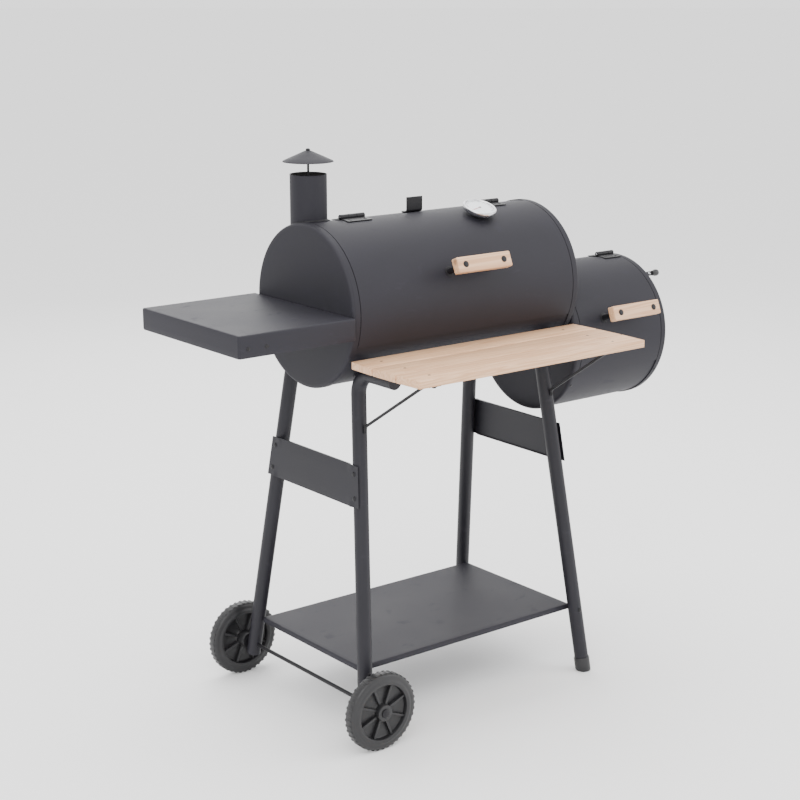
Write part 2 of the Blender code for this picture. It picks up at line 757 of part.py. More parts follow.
def build_grate(name, drum, drop, x_low, x_high, pivot=None):
    """A slotted grate that rests on the round of the fixed sheet."""
    inside = (drum.sheet_outside - SHEET) * math.cos(math.radians(DRUM_STEP / 2))
    low = drop + GRATE_THICKNESS / 2
    half = math.sqrt((inside - GRATE_CLEARANCE) ** 2 - low**2)
    length = x_high - x_low
    middle = ((x_low + x_high) / 2, 0, drum.height - drop)
    at = (0, 0, 0) if pivot else middle
    grate = piece(name, block(length, 2 * half, GRATE_THICKNESS), CAST, at, pivot)
    edge = GRATE_BAR * 1.5
    count = int((length - 2 * edge + GRATE_BAR) / GRATE_PITCH)
    pitch = (length - 2 * edge + GRATE_BAR) / count
    slot_y = half - edge - GRATE_BAR / 2
    slots = []
    for index in range(count):
        x = -length / 2 + edge + pitch * (index + 0.5) - GRATE_BAR / 2
        for side in (-1, 1):
            place = (x, side * (GRATE_BAR / 2 + slot_y / 2), 0)
            slots.append(((pitch - GRATE_BAR, slot_y, GRATE_THICKNESS * 3), place))
    boolean(grate, tool(f"{name}_slots", blocks(slots), at, pivot), "DIFFERENCE")


def build_grates():
    end = CAP_EDGE_RADIUS + GRATE_END_CLEARANCE
    low, high = BARREL.left + end, BARREL.right - end
    for label, x_low, x_high in (
        ("left", low, -GRATE_CLEARANCE),
        ("right", GRATE_CLEARANCE, high),
    ):
        at = ((x_low + x_high) / 2, 0, BARREL.height - COOKING_GRATE_DROP)
        lift = new_empty(f"cooking_grate_lift_{label}", at, ROOT)
        build_grate(f"cooking_grate_{label}", BARREL, COOKING_GRATE_DROP, x_low, x_high, lift)
    build_grate("charcoal_grate", BARREL, CHARCOAL_GRATE_DROP, low, high)
    fire_low, fire_high = FIREBOX.left + end, FIREBOX.right - end
    build_grate("firebox_grate", FIREBOX, FIREBOX_GRATE_DROP, fire_low, fire_high)


def build_heat_window(barrel_cap, firebox_cap):
    """The opening through both touching end caps that lets heat and smoke across."""
    overlap_low = BARREL.height - BARREL.radius
    overlap_high = FIREBOX.height + FIREBOX.radius
    middle = (BARREL.right + GAP, 0, (overlap_low + overlap_high) / 2)
    # The long edges stay along Y after the turn that lays the rounded box across the caps.
    opening = rounded_block(WINDOW_HEIGHT, WINDOW_WIDTH, 0.02, 0.012, 3)
    window = tool("heat_window", opening, middle, None, (0, math.pi / 2, 0))
    boolean(barrel_cap, window, "DIFFERENCE")
    boolean(firebox_cap, window, "DIFFERENCE")


def build_damper(cap):
    """A disc with holes over those in the end cap, an arm with a knob, and the bolt it turns on."""
    centre = (DAMPER_FACE_X, 0, FIREBOX.height)
    pivot = new_empty("damper_pivot", centre, ROOT)
    holes = []
    for index in range(DAMPER_HOLES):
        y, z = at_angle(DAMPER_HOLE_RING, DAMPER_ARM_ANGLE + 60.0 + 360.0 / DAMPER_HOLES * index)
        holes.append((0, y, z))
    air = cylinders(DAMPER_HOLE_RADIUS, 0.03, holes, 20, "X")
    boolean(cap, tool("air_holes", air, centre), "DIFFERENCE")
    half = DAMPER_SHEET / 2
    disc = piece("air_damper", cylinder(DAMPER_RADIUS, DAMPER_SHEET, 32, "X"), PAINT, (half, 0, 0), pivot)
    reach = DAMPER_ARM_REACH
    arm_middle = at_angle(reach / 2, DAMPER_ARM_ANGLE)
    arm = tool(
        "air_damper_arm",
        block(DAMPER_SHEET, reach, DAMPER_ARM_WIDTH),
        (half, *arm_middle),
        pivot,
        radial(DAMPER_ARM_ANGLE),
    )
    boolean(disc, arm, "UNION")
    tip_middle = at_angle(reach - DAMPER_SHEET / 2, DAMPER_ARM_ANGLE)
    tip = tool(
        "air_damper_tip",
        block(DAMPER_SHEET + DAMPER_TIP_OUT, DAMPER_SHEET, DAMPER_ARM_WIDTH),
        (half + DAMPER_TIP_OUT / 2, *tip_middle),
        pivot,
        radial(DAMPER_ARM_ANGLE),
    )
    boolean(disc, tip, "UNION")
    boolean(disc, tool("air_damper_holes", air.copy(), (0, 0, 0), pivot), "DIFFERENCE")
    bolt_hole = cylinder(PIVOT_SHANK_RADIUS + GAP, 0.03, 16, "X")
    boolean(disc, tool("air_damper_bolt_hole", bolt_hole, (0, 0, 0), pivot), "DIFFERENCE")
    boolean(cap, tool("firebox_cap_bolt_hole", bolt_hole.copy(), centre), "DIFFERENCE")
    knob_low = DAMPER_SHEET + DAMPER_TIP_OUT + GAP
    profile = [
        (0.0, 0, KNOB_LENGTH),
        (KNOB_RADIUS * 0.6, 0, KNOB_LENGTH),
        (KNOB_RADIUS, 0, KNOB_LENGTH * 0.8),
        (KNOB_RADIUS, 0, KNOB_LENGTH * 0.45),
        (KNOB_RADIUS * 0.7, 0, 0.0),
        (0.0, 0, 0.0),
    ]
    knob = piece(
        "damper_knob",
        outline(profile),
        PLASTIC,
        (knob_low, *tip_middle),
        pivot,
        (0, math.pi / 2, 0),
    )
    revolve(knob, "Z", 360.0, 20)
    head_low = DAMPER_SHEET + GAP
    bolt = piece(
        "damper_pivot_bolt",
        cylinder(PIVOT_HEAD_RADIUS, PIVOT_HEAD_DEPTH, 6, "X"),
        STEEL,
        (DAMPER_FACE_X + head_low + PIVOT_HEAD_DEPTH / 2, 0, FIREBOX.height),
    )
    shank = cylinder(PIVOT_SHANK_RADIUS, 0.016, 16, "X")
    shank_at = (DAMPER_FACE_X + head_low - 0.006, 0, FIREBOX.height)
    boolean(bolt, tool("damper_pivot_shank", shank, shank_at), "UNION")


# ---- leg frame ------------------------------------------------------------------------------------


def leg_point(side_x, side_y, height):
    """The leg's centre line at this height. side_x and side_y are -1 or 1."""
    foot_x = LEG_FOOT_LEFT_X if side_x < 0 else LEG_FOOT_RIGHT_X
    x = foot_x - side_x * LEG_LEAN_X * height
    y = side_y * (LEG_FOOT_Y - LEG_LEAN_Y * height)
    return Vector((x, y, height))


def arm_height():
    """Centre line of a front leg's arm, which runs under the rail and the slats."""
    return SHELF_TOP - SLAT_THICKNESS - GAP - RAIL_SHEET - GAP - LEG_RADIUS


def foot_start(side_x):
    return WHEELED_LEG_END if side_x < 0 else FOOT_CAP_SOLE + 2 * GAP


def build_leg(side_x, side_y):
    across = "left" if side_x < 0 else "right"
    depth = "front" if side_y < 0 else "rear"
    name = f"leg_{depth}_{across}"
    start = leg_point(side_x, side_y, foot_start(side_x))
    if side_y < 0:
        corner = leg_point(side_x, side_y, arm_height())
        tip = Vector((corner.x, LEG_ARM_FRONT_Y, corner.z))
        path = rounded_path([start, corner, tip], LEG_BEND_RADIUS)
    else:
        path = [start, leg_point(side_x, side_y, BARREL.height - BARREL.radius * 0.62)]
    leg = piece(name, swept(path, LEG_RADIUS - SHEET / 2, False, 4), PAINT)
    thicken(leg)
    if side_y < 0:
        lug_y = corner.y - LEG_RADIUS
        lug_z = arm_height() - LEG_LUG_HEIGHT / 4
        lug = block(LEG_LUG_SHEET, 0.05, LEG_LUG_HEIGHT)
        boolean(leg, tool(f"{name}_lug", lug, (corner.x, lug_y + 0.012, lug_z)), "UNION")
    boolean(leg, BARREL_CLEARANCE, "DIFFERENCE")
    if side_x < 0:
        boolean(leg, AXLE_BORE, "DIFFERENCE")
    return leg


def build_foot_cap(side_y):
    """A cup on the end of a right leg, cut flat where it stands on the ground."""
    label = "front" if side_y < 0 else "rear"
    low = leg_point(1, side_y, -0.02)
    high = leg_point(1, side_y, FOOT_CAP_HEIGHT)
    along = high - low
    turn = Vector((0, 0, 1)).rotation_difference(along).to_euler()
    outside = LEG_RADIUS + GAP + FOOT_CAP_WALL
    cap = piece(
        f"foot_cap_{label}",
        cylinder(outside, along.length, 24, "Z"),
        PLASTIC,
        (low + high) / 2,
        None,
        turn,
    )
    pocket_low = leg_point(1, side_y, FOOT_CAP_SOLE)
    pocket_high = leg_point(1, side_y, FOOT_CAP_HEIGHT + 0.02)
    pocket = cylinder(LEG_RADIUS + GAP, (pocket_high - pocket_low).length, 24)
    at = (pocket_low + pocket_high) / 2
    boolean(cap, tool(f"{cap.name}_pocket", pocket, at, None, turn), "DIFFERENCE")
    ground = tool(f"{cap.name}_ground", block(0.1, 0.1, 0.1), (low.x, low.y, -0.05))
    boolean(cap, ground, "DIFFERENCE")


def build_leg_panel(side_x):
    """A flat plate across the outer sides of a front and a rear leg, parallel to both."""
    label = "left" if side_x < 0 else "right"
    half = PANEL_HEIGHT / 2
    lean = math.atan(LEG_LEAN_X)
    stretch = 1 / math.cos(lean)
    middle = leg_point(side_x, 1, PANEL_MIDDLE)
    out = LEG_RADIUS + GAP + PANEL_SHEET / 2
    shape = bmesh.new()
    for height in (-half, half):
        reach = LEG_FOOT_Y - LEG_LEAN_Y * (PANEL_MIDDLE + height) + PANEL_PAST_LEG
        for side in (-1, 1):
            shape.verts.new((0, side * reach, height * stretch))
    shape.verts.ensure_lookup_table()
    corners = [shape.verts[i] for i in (0, 1, 3, 2)]
    shape.faces.new(corners)
    at = (middle.x + side_x * out * math.cos(lean), 0, PANEL_MIDDLE + out * math.sin(lean))
    plate = from_bmesh(shape, "panel")
    panel = piece(f"leg_panel_{label}", plate, PAINT, at, None, (0, -side_x * lean, 0))
    thicken(panel, PANEL_SHEET)


def build_bottom_shelf():
    """A pan that fits between the front and rear legs and ends on the legs' centre lines."""
    left = leg_point(-1, 1, BOTTOM_SHELF_TOP).x
    right = leg_point(1, 1, BOTTOM_SHELF_TOP).x
    lean = math.atan(LEG_LEAN_Y)
    half = LEG_FOOT_Y - LEG_LEAN_Y * BOTTOM_SHELF_TOP - LEG_RADIUS / math.cos(lean) - GAP
    surface = tray_surface(right - left - SHEET, 2 * half - SHEET, BOTTOM_SHELF_LIP, 0.004)
    shelf = piece("bottom_shelf", surface, PAINT, ((left + right) / 2, 0, BOTTOM_SHELF_TOP - SHEET / 2))
    thicken(shelf)


def axle_point():
    return leg_point(-1, 1, WHEEL_RADIUS)


def build_wheels():
    """Two turned wheels on a headed axle through the left legs."""
    centre = axle_point()
    length = 2 * AXLE_END_Y - AXLE_HEAD_DEPTH
    axle = piece("wheel_axle", cylinder(AXLE_RADIUS, length, 24, "Y"), STEEL, (centre.x, 0, centre.z))
    for label, side in (("front", -1), ("rear", 1)):
        head = cylinder(AXLE_HEAD_RADIUS, AXLE_HEAD_DEPTH, 24, "Y")
        at = (centre.x, side * (AXLE_END_Y - AXLE_HEAD_DEPTH / 2), centre.z)
        boolean(axle, tool(f"wheel_axle_head_{label}", head, at), "UNION")
        tread_in = WHEEL_TREAD_INNER_Y
        tread_out = tread_in + WHEEL_WIDTH
        web_low = tread_in + (WHEEL_WIDTH - WHEEL_WEB) / 2
        web_high = web_low + WHEEL_WEB
        bore = AXLE_RADIUS + AXLE_CLEARANCE
        shoulder = 0.005
        profile = [
            (bore, 0, WHEEL_HUB_OUTER_Y),
            (WHEEL_HUB_RADIUS - 0.002, 0, WHEEL_HUB_OUTER_Y),
            (WHEEL_HUB_RADIUS, 0, WHEEL_HUB_OUTER_Y - 0.002),
            (WHEEL_HUB_RADIUS, 0, web_high),
            (WHEEL_RIM_RADIUS, 0, web_high),
            (WHEEL_RIM_RADIUS + 0.002, 0, tread_out - 0.001),
            (WHEEL_RADIUS - shoulder * 1.4, 0, tread_out),
            (WHEEL_RADIUS - shoulder * 0.4, 0, tread_out - shoulder * 0.6),
            (WHEEL_RADIUS, 0, tread_out - shoulder * 1.6),
            (WHEEL_RADIUS, 0, tread_in + shoulder * 1.6),
            (WHEEL_RADIUS - shoulder * 0.4, 0, tread_in + shoulder * 0.6),
            (WHEEL_RADIUS - shoulder * 1.4, 0, tread_in),
            (WHEEL_RIM_RADIUS + 0.002, 0, tread_in + 0.001),
            (WHEEL_RIM_RADIUS, 0, web_low),
            (WHEEL_HUB_RADIUS, 0, web_low),
            (WHEEL_HUB_RADIUS, 0, WHEEL_HUB_INNER_Y + 0.002),
            (WHEEL_HUB_RADIUS - 0.002, 0, WHEEL_HUB_INNER_Y),
            (bore, 0, WHEEL_HUB_INNER_Y),
        ]
        wheel = piece(
            f"wheel_{label}",
            outline(profile, closed=True),
            PLASTIC,
            (centre.x, 0, centre.z),
            None,
            (-side * math.pi / 2, 0, 0),
        )
        revolve(wheel, "Z", 360.0, 32)


# ---- shelves --------------------------------------------------------------------------------------


def build_front_shelf():
    """Three slats on two steel rails, each rail held up by a leg's arm and a thin brace."""
    barrel_face = -math.sqrt(BARREL.radius**2 - (BARREL.height - SHELF_TOP) ** 2)
    depth = (barrel_face - SHELF_BACK_GAP - SHELF_FRONT_Y - (SLAT_COUNT - 1) * SLAT_GAP) / SLAT_COUNT
    length = BARREL.right - BARREL.left
    middle_x = BARREL.middle
    for index in range(SLAT_COUNT):
        y = SHELF_FRONT_Y + depth / 2 + index * (depth + SLAT_GAP)
        shape = bmesh.new()
        bmesh.ops.create_cube(shape, size=1, matrix=Matrix.Diagonal((length, depth, SLAT_THICKNESS, 1)))
        outer = -1 if index == 0 else 1 if index == SLAT_COUNT - 1 else 0
        corners = [
            e
            for e in shape.edges
            if abs(e.verts[0].co.z - e.verts[1].co.z) > SLAT_THICKNESS / 2 and e.verts[0].co.y * outer > 0
        ]
        if corners:
            bmesh.ops.bevel(
                shape, geom=corners, offset=SHELF_CORNER_RADIUS, segments=4, affect="EDGES", profile=0.5
            )
        slat = from_bmesh(shape, "slat")
        at = (middle_x, y, SHELF_TOP - SLAT_THICKNESS / 2)
        piece(f"front_shelf_slat_{index + 1}", slat, WOOD, at)
    rail_front = SHELF_FRONT_Y + RAIL_FRONT_INSET
    rail_back = -math.sqrt(BARREL.radius**2 - (BARREL.height - SHELF_TOP + SLAT_THICKNESS) ** 2) + 0.02
    rail_z = SHELF_TOP - SLAT_THICKNESS - GAP - RAIL_SHEET / 2
    for label, side in (("left", -1), ("right", 1)):
        x = leg_point(side, -1, arm_height()).x
        strip = block(RAIL_WIDTH, rail_back - rail_front, RAIL_SHEET)
        rail = piece(f"front_shelf_rail_{label}", strip, PAINT, (x, (rail_front + rail_back) / 2, rail_z))
        boolean(rail, BARREL_CLEARANCE, "DIFFERENCE")
        touch = LEG_RADIUS + GAP + BRACE_RADIUS
        low = leg_point(side, -1, BRACE_LOW_HEIGHT) + Vector((0, -touch / math.cos(math.atan(LEG_LEAN_Y)), 0))
        below = leg_point(side, -1, BRACE_LOW_HEIGHT - BRACE_FOOT) + Vector(
            (0, -touch / math.cos(math.atan(LEG_LEAN_Y)), 0)
        )
        top_z = rail_z - RAIL_SHEET / 2 - GAP - BRACE_RADIUS
        top = Vector((x, SHELF_FRONT_Y + BRACE_FRONT_INSET + BRACE_FOOT, top_z))
        end = Vector((x, SHELF_FRONT_Y + BRACE_FRONT_INSET, top_z))
        path = rounded_path([below, low, top, end], 0.006, 3)
        piece(f"front_shelf_brace_{label}", swept(path, BRACE_RADIUS, True, 2), PAINT)


def build_side_shelf():
    """A pan on the barrel's left end."""
    surface = tray_surface(TRAY_LENGTH - SHEET, 2 * TRAY_HALF_WIDTH - SHEET, TRAY_LIP, TRAY_CORNER_RADIUS)
    at = (TRAY_LEFT_X + TRAY_LENGTH / 2, 0, TRAY_TOP - SHEET / 2)
    thicken(piece("side_shelf", surface, PAINT, at))


# ---- the whole ------------------------------------------------------------------------------------


clear_scene()
PARTS = new_collection("offset_smoker")
TOOLS = new_collection("offset_smoker_cutters")
TOOLS.hide_render = True
ROOT = new_empty("offset_smoker_frame", -ORIGIN)
BARREL_CLEARANCE = tool(
    "barrel_clearance", cylinder(BARREL.clear_radius, 0.7, CUTTER_SIDES, "X"), (0, 0, BARREL.height)
)
AXLE_BORE = tool(
    "axle_bore", cylinder(AXLE_RADIUS + AXLE_CLEARANCE, 0.6, 24, "Y"), (axle_point().x, 0, axle_point().z)
)

barrel = build_drum(BARREL)
firebox = build_drum(FIREBOX)
for label, x in (("left", -BARREL_HINGE_X), ("right", BARREL_HINGE_X)):
    build_hinge(BARREL, barrel["pivot"], label, x, BARREL_HINGE_LENGTH)
for label, x in (
    ("left", FIREBOX.left + FIREBOX_HINGE_INSET),
    ("right", FIREBOX.right - FIREBOX_HINGE_INSET),
):
    build_hinge(FIREBOX, firebox["pivot"], label, x, FIREBOX_HINGE_LENGTH)
build_handle(BARREL, barrel["pivot"], BARREL_HANDLE_ANGLE)
build_handle(FIREBOX, firebox["pivot"], FIREBOX_HANDLE_ANGLE)
build_thermometer(barrel["lid"], barrel["pivot"])
build_chimney(barrel["shell"], barrel["caps"]["left"])
build_lid_stop()
build_grates()
build_heat_window(barrel["caps"]["right"], firebox["caps"]["left"])
build_damper(firebox["caps"]["right"])
for side_x in (-1, 1):
    for side_y in (-1, 1):
        build_leg(side_x, side_y)
    build_leg_panel(side_x)
build_foot_cap(-1)
build_foot_cap(1)
build_bottom_shelf()
build_wheels()
build_front_shelf()
build_side_shelf()
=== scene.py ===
"""Looks of the offset smoker: drums, lids, chimney, shelves, wheels and leg frame, dressed and lit.

Shapes are worked out in the maker's frame, whose X axis runs along the barrel from its middle, Y to
the back and Z up from the ground. Angles round a drum start at the front and rise over the top:
0 front, 90 top, 180 back. Every mesh is shifted into the row's frame when it is published.
"""

import logging
import math
from dataclasses import dataclass
from enum import Enum
from functools import reduce
from typing import Any, Sequence

import bmesh
import bpy
import numpy as np
from mathutils import Euler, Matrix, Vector
from numpy.typing import NDArray


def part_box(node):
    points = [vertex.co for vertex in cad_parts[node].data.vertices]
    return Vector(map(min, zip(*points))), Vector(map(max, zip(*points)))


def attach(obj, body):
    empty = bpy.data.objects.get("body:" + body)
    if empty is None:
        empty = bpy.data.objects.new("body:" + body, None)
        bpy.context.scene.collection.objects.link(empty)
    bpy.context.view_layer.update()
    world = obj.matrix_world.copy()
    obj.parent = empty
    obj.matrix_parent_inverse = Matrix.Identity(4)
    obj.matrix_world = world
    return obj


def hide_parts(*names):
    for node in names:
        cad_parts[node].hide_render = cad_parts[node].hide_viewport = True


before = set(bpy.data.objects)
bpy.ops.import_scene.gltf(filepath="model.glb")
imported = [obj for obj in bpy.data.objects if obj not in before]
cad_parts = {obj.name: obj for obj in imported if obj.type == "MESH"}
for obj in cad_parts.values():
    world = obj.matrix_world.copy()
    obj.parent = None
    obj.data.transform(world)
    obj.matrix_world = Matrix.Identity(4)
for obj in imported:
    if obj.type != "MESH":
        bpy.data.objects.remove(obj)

Points = NDArray[np.float64]
log = logging.getLogger("offset_smoker")

SHIFT: Points = np.array((-0.0263, 0.04605, 0.0))
SHEET = 0.0012
ALONG: Points = np.array((1.0, 0.0, 0.0))
BACK: Points = np.array((0.0, 1.0, 0.0))
UP: Points = np.array((0.0, 0.0, 1.0))


class Side(Enum):
    """Left or right along the barrel, as a sign."""

    LEFT = -1
    RIGHT = 1


class Depth(Enum):
    """Front or rear across the barrel, as a sign."""

    FRONT = -1
    REAR = 1


# ---- shapes ---------------------------------------------------------------------------------------


@dataclass
class Shape:
    """Points and the faces between them.

    Args:
        points: an array of places, one row each.
        faces: the indices of each face's corners.
    """

    points: Points
    faces: list[tuple[int, ...]]

    def __add__(self, other: "Shape") -> "Shape":
        """Both shapes in one."""
        first = len(self.points)
        moved = [tuple(corner + first for corner in face) for face in other.faces]
        return Shape(np.concatenate([self.points, other.points]), self.faces + moved)

    def moved(self, offset: Sequence[float]) -> "Shape":
        """The shape carried by an offset."""
        return Shape(self.points + np.asarray(offset, float), self.faces)

    def placed(self, at: Sequence[float], x: Points, y: Points, z: Points) -> "Shape":
        """The shape with its own X, Y and Z laid along three directions from a place."""
        return Shape(self.points @ np.stack([x, y, z]) + np.asarray(at, float), self.faces)

    def facing(self, at: Sequence[float], out: Sequence[float]) -> "Shape":
        """The shape with its own Z pointing out from a place."""
        z = unit(np.asarray(out, float))
        helper = UP if abs(z[2]) < 0.9 else ALONG
        x = unit(np.cross(helper, z))
        return self.placed(at, x, np.cross(z, x), z)


def unit(vector: Points) -> Points:
    """A vector, or each row of an array, scaled to length one."""
    return vector / np.linalg.norm(vector, axis=-1, keepdims=True)


def together(shapes: Sequence[Shape]) -> Shape:
    """Several shapes in one."""
    return reduce(lambda a, b: a + b, shapes)


def grid(
    points: Points,
    ring: bool = False,
    caps: tuple[bool, bool] = (False, False),
    keep: NDArray[np.bool_] | None = None,
) -> Shape:
    """Quads over an array of points in rows and columns.

    Args:
        points: rows by columns by three.
        ring: whether the last column joins the first.
        caps: whether the first and the last row are closed by a face.
        keep: which quads stay, rows by columns.

    Returns:
        The surface. Its faces look along (next column - this one) x (next row - this one).
    """
    rows, columns = points.shape[:2]
    index = np.arange(rows * columns).reshape(rows, columns)
    wide = np.concatenate([index, index[:, :1]], axis=1) if ring else index
    quads = np.stack([wide[:-1, :-1], wide[:-1, 1:], wide[1:, 1:], wide[1:, :-1]], axis=-1)
    chosen = quads.reshape(-1, 4) if keep is None else quads[keep]
    faces = [tuple(quad) for quad in chosen.tolist()]
    if caps[0]:
        faces.append(tuple(index[0, ::-1].tolist()))
    if caps[1]:
        faces.append(tuple(index[-1].tolist()))
    return Shape(points.reshape(-1, 3), faces)


def turned(profile: Sequence[tuple[float, float]], sides: int = 48) -> Shape:
    """A profile of (radius, height) carried round the Z axis: x = r cos a, y = r sin a, z = h."""
    outline = np.asarray(profile, float)
    angle = np.linspace(0, 2 * np.pi, sides, endpoint=False)
    radius, height = outline[:, :1], outline[:, 1:]
    x = radius * np.cos(angle)
    y = radius * np.sin(angle)
    return grid(np.stack([x, y, height + 0 * x], axis=-1), ring=True)


def circle(radius: float, count: int = 20) -> Points:
    """Points round a circle: radius times cosine and sine."""
    angle = np.linspace(0, 2 * np.pi, count, endpoint=False)
    return radius * np.stack([np.cos(angle), np.sin(angle)], axis=-1)


def rounded_rectangle(half_x: float, half_y: float, radius: float, corner_points: int = 6) -> Points:
    """An outline whose corners are quarter circles: each corner's centre plus radius at an angle."""
    quarter = np.linspace(0, np.pi / 2, corner_points)
    angle = (np.arange(4)[:, None] * np.pi / 2 + quarter).ravel()
    across = np.repeat((1, -1, -1, 1), corner_points) * (half_x - radius)
    along = np.repeat((1, 1, -1, -1), corner_points) * (half_y - radius)
    return np.stack([across + radius * np.cos(angle), along + radius * np.sin(angle)], axis=-1)


def evenly(outline: Points, count: int) -> Points:
    """Points at equal steps of length round a closed outline."""
    closed = np.concatenate([outline, outline[:1]])
    length = np.concatenate([[0.0], np.cumsum(np.linalg.norm(np.diff(closed, axis=0), axis=1))])
    at = np.linspace(0, length[-1], count, endpoint=False)
    return np.stack([np.interp(at, length, closed[:, axis]) for axis in range(2)], axis=-1)


def layered(levels: Sequence[tuple[float, float, float, float]], corner_points: int, capped: bool) -> Shape:
    """Rounded rectangles of (half x, half y, corner radius, height), joined level by level.

    Args:
        levels: from the lowest to the highest, or the other way for a pan.
        corner_points: points in each corner.
        capped: whether the first level is closed too, and not only the last.

    Returns:
        The joined surface.
    """
    rings = [
        np.concatenate(
            [rounded_rectangle(a, b, r, corner_points), np.full((4 * corner_points, 1), h)], axis=1
        )
        for a, b, r, h in levels
    ]
    return grid(np.stack(rings), ring=True, caps=(capped, True))


def slab(x: float, y: float, z: float, corner: float, edge: float, corner_points: int = 5) -> Shape:
    """A board with rounded corners and edges, about its own middle.

    The outline draws in by edge * (1 - sin t) while it rises by edge * cos t, for t from 0 to 90 degrees.

    Args:
        x: length.
        y: width.
        z: thickness.
        corner: radius of its upright corners.
        edge: radius of the edges round both faces.
        corner_points: points in each corner.

    Returns:
        The closed shape.
    """
    turn = np.linspace(0, np.pi / 2, 4)
    inset = edge * (1 - np.sin(turn))
    height = z / 2 - edge * (1 - np.cos(turn))
    insets = np.concatenate([inset, inset[::-1]])
    heights = np.concatenate([-height, height[::-1]])
    levels = [
        (x / 2 - i, y / 2 - i, max(corner - i, 1e-5), h) for i, h in zip(insets.tolist(), heights.tolist())
    ]
    return layered(levels, corner_points, True)


def swept(path: Points, section: Points, side: Points, ring: bool = False) -> Shape:
    """A section carried along a flat path.

    Each ring is path + u * side + v * (ahead x side), where ahead is the path's own direction.

    Args:
        path: places along the path.
        section: the (u, v) outline.
        side: the direction square to the path's plane, or one for each place.
        ring: whether the path closes on itself.

    Returns:
        The surface, with flat ends unless the path closes.
    """
    ahead = np.roll(path, -1, axis=0) - np.roll(path, 1, axis=0) if ring else np.gradient(path, axis=0)
    across = np.broadcast_to(side, path.shape)
    over = unit(np.cross(unit(ahead), across))
    rings = (
        path[:, None]
        + section[None, :, :1] * across[:, None]
        + section[None, :, 1:] * over[:, None]
    )
    if ring:
        rings = np.concatenate([rings, rings[:1]])
    return grid(rings, ring=True, caps=(not ring, not ring))


def eased(corners: Sequence[Sequence[float]], radius: float, steps: int = 10) -> Points:
    """A polyline whose inner corners are arcs of a radius that touch both sides.

    Args:
        corners: the places it turns at, ends included.
        radius: of every arc.
        steps: points along each arc.

    Returns:
        The places along it.
    """
    places = np.asarray(corners, float)
    parts = [places[:1]]
    for before, here, after in zip(places, places[1:], places[2:]):
        ahead, onward = unit(here - before), unit(after - here)
        turn = math.acos(float(np.clip(ahead @ onward, -1, 1)))
        inward = unit(onward - ahead * (ahead @ onward))
        centre = here - ahead * radius * math.tan(turn / 2) + inward * radius
        angle = np.linspace(0, turn, steps)[:, None]
        parts.append(centre - inward * radius * np.cos(angle) + ahead * radius * np.sin(angle))
    return np.concatenate([*parts, places[-1:]])


def punched(points: Points, holes: Points, radius: float, reach: float) -> tuple[Points, NDArray[np.bool_]]:
    """Round holes in a flat sheet that stands across X.

    A point nearer than reach to a hole's edge is drawn out or in to centre + radius * direction, and the
    quads whose middles then lie inside the hole are dropped.

    Args:
        points: rows by columns by three, with its columns in a ring.
        holes: the (y, z) middle of each hole.
        radius: of each hole.
        reach: half a quad, about.

    Returns:
        The points, and which quads stay.
    """
    flat = points[..., None, 1:] - holes
    gap = np.linalg.norm(flat, axis=-1)
    nearest = np.argmin(gap, axis=-1)
    away = np.take_along_axis(gap, nearest[..., None], -1)[..., 0]
    middle = holes[nearest]
    drawn = middle + (points[..., 1:] - middle) / np.maximum(away, 1e-9)[..., None] * radius
    near = np.abs(away - radius) < reach
    result = points.copy()
    result[..., 1:] = np.where(near[..., None], drawn, points[..., 1:])
    wide = np.concatenate([result, result[:, :1]], axis=1)
    centre = (wide[:-1, :-1] + wide[1:, :-1] + wide[:-1, 1:] + wide[1:, 1:]) / 4
    inside = np.linalg.norm(centre[..., None, 1:] - holes, axis=-1).min(axis=-1)
    return result, inside > radius * 0.985


# ---- small hardware -------------------------------------------------------------------------------


def hex_bolt(
    at: Sequence[float], out: Sequence[float], radius: float = 0.0055, head: float = 0.0036
) -> Shape:
    """A washer and a six-sided head with its corners eased."""
    flat, brim = radius * 1.35, radius * 1.45
    washer = turned([(0, 0.0012), (flat, 0.0012), (brim, 0.0008), (brim, 0), (0, 0)], 24)
    low = 0.0011
    nut = turned(
        [(0, low), (radius, low), (radius, low + head * 0.8), (radius * 0.84, low + head), (0, low + head)], 6
    )
    return (washer + nut).facing(at, out)


def dome(at: Sequence[float], out: Sequence[float], radius: float = 0.0042, rise: float = 0.0021) -> Shape:
    """A rivet's or a screw's round head: the profile is a quarter of an ellipse."""
    turn = np.linspace(0, np.pi / 2, 6)
    profile = [(float(radius * np.sin(t)), float(rise * np.cos(t))) for t in turn]
    return turned([*profile, (0.0, 0.0)], 18).facing(at, out)


# ---- finishes -------------------------------------------------------------------------------------


class Field:
    """A value that varies over a surface, on which sums can be written."""

    def __init__(self, recipe: "Recipe", socket: bpy.types.NodeSocket) -> None:
        """Wraps a socket of a recipe."""
        self.recipe = recipe
        self.socket = socket

    def maths(self, operation: str, *values: Any, flip: bool = False) -> "Field":
        """A Math node on this value and others, in the order given or the other way round."""
        terms = [*values, self] if flip else [self, *values]
        inputs = dict(enumerate(terms))
        return self.recipe.node("ShaderNodeMath", {"operation": operation}, inputs, 0)

    def __add__(self, other: Any) -> "Field":
        """Sum."""
        return self.maths("ADD", other)

    __radd__ = __add__

    def __sub__(self, other: Any) -> "Field":
        """Difference."""
        return self.maths("SUBTRACT", other)

    def __rsub__(self, other: Any) -> "Field":
        """Difference from a number."""
        return self.maths("SUBTRACT", other, flip=True)

    def __mul__(self, other: Any) -> "Field":
        """Product."""
        return self.maths("MULTIPLY", other)

    __rmul__ = __mul__

    def __pow__(self, other: Any) -> "Field":
        """Power."""
        return self.maths("POWER", other)

    def ramp(self, low: float, high: float) -> "Field":
        """0 below low, 1 above high and a smooth step between."""
        settings = {"interpolation_type": "SMOOTHSTEP"}
        return self.recipe.node("ShaderNodeMapRange", settings, {0: self, 1: low, 2: high, 3: 0.0, 4: 1.0}, 0)


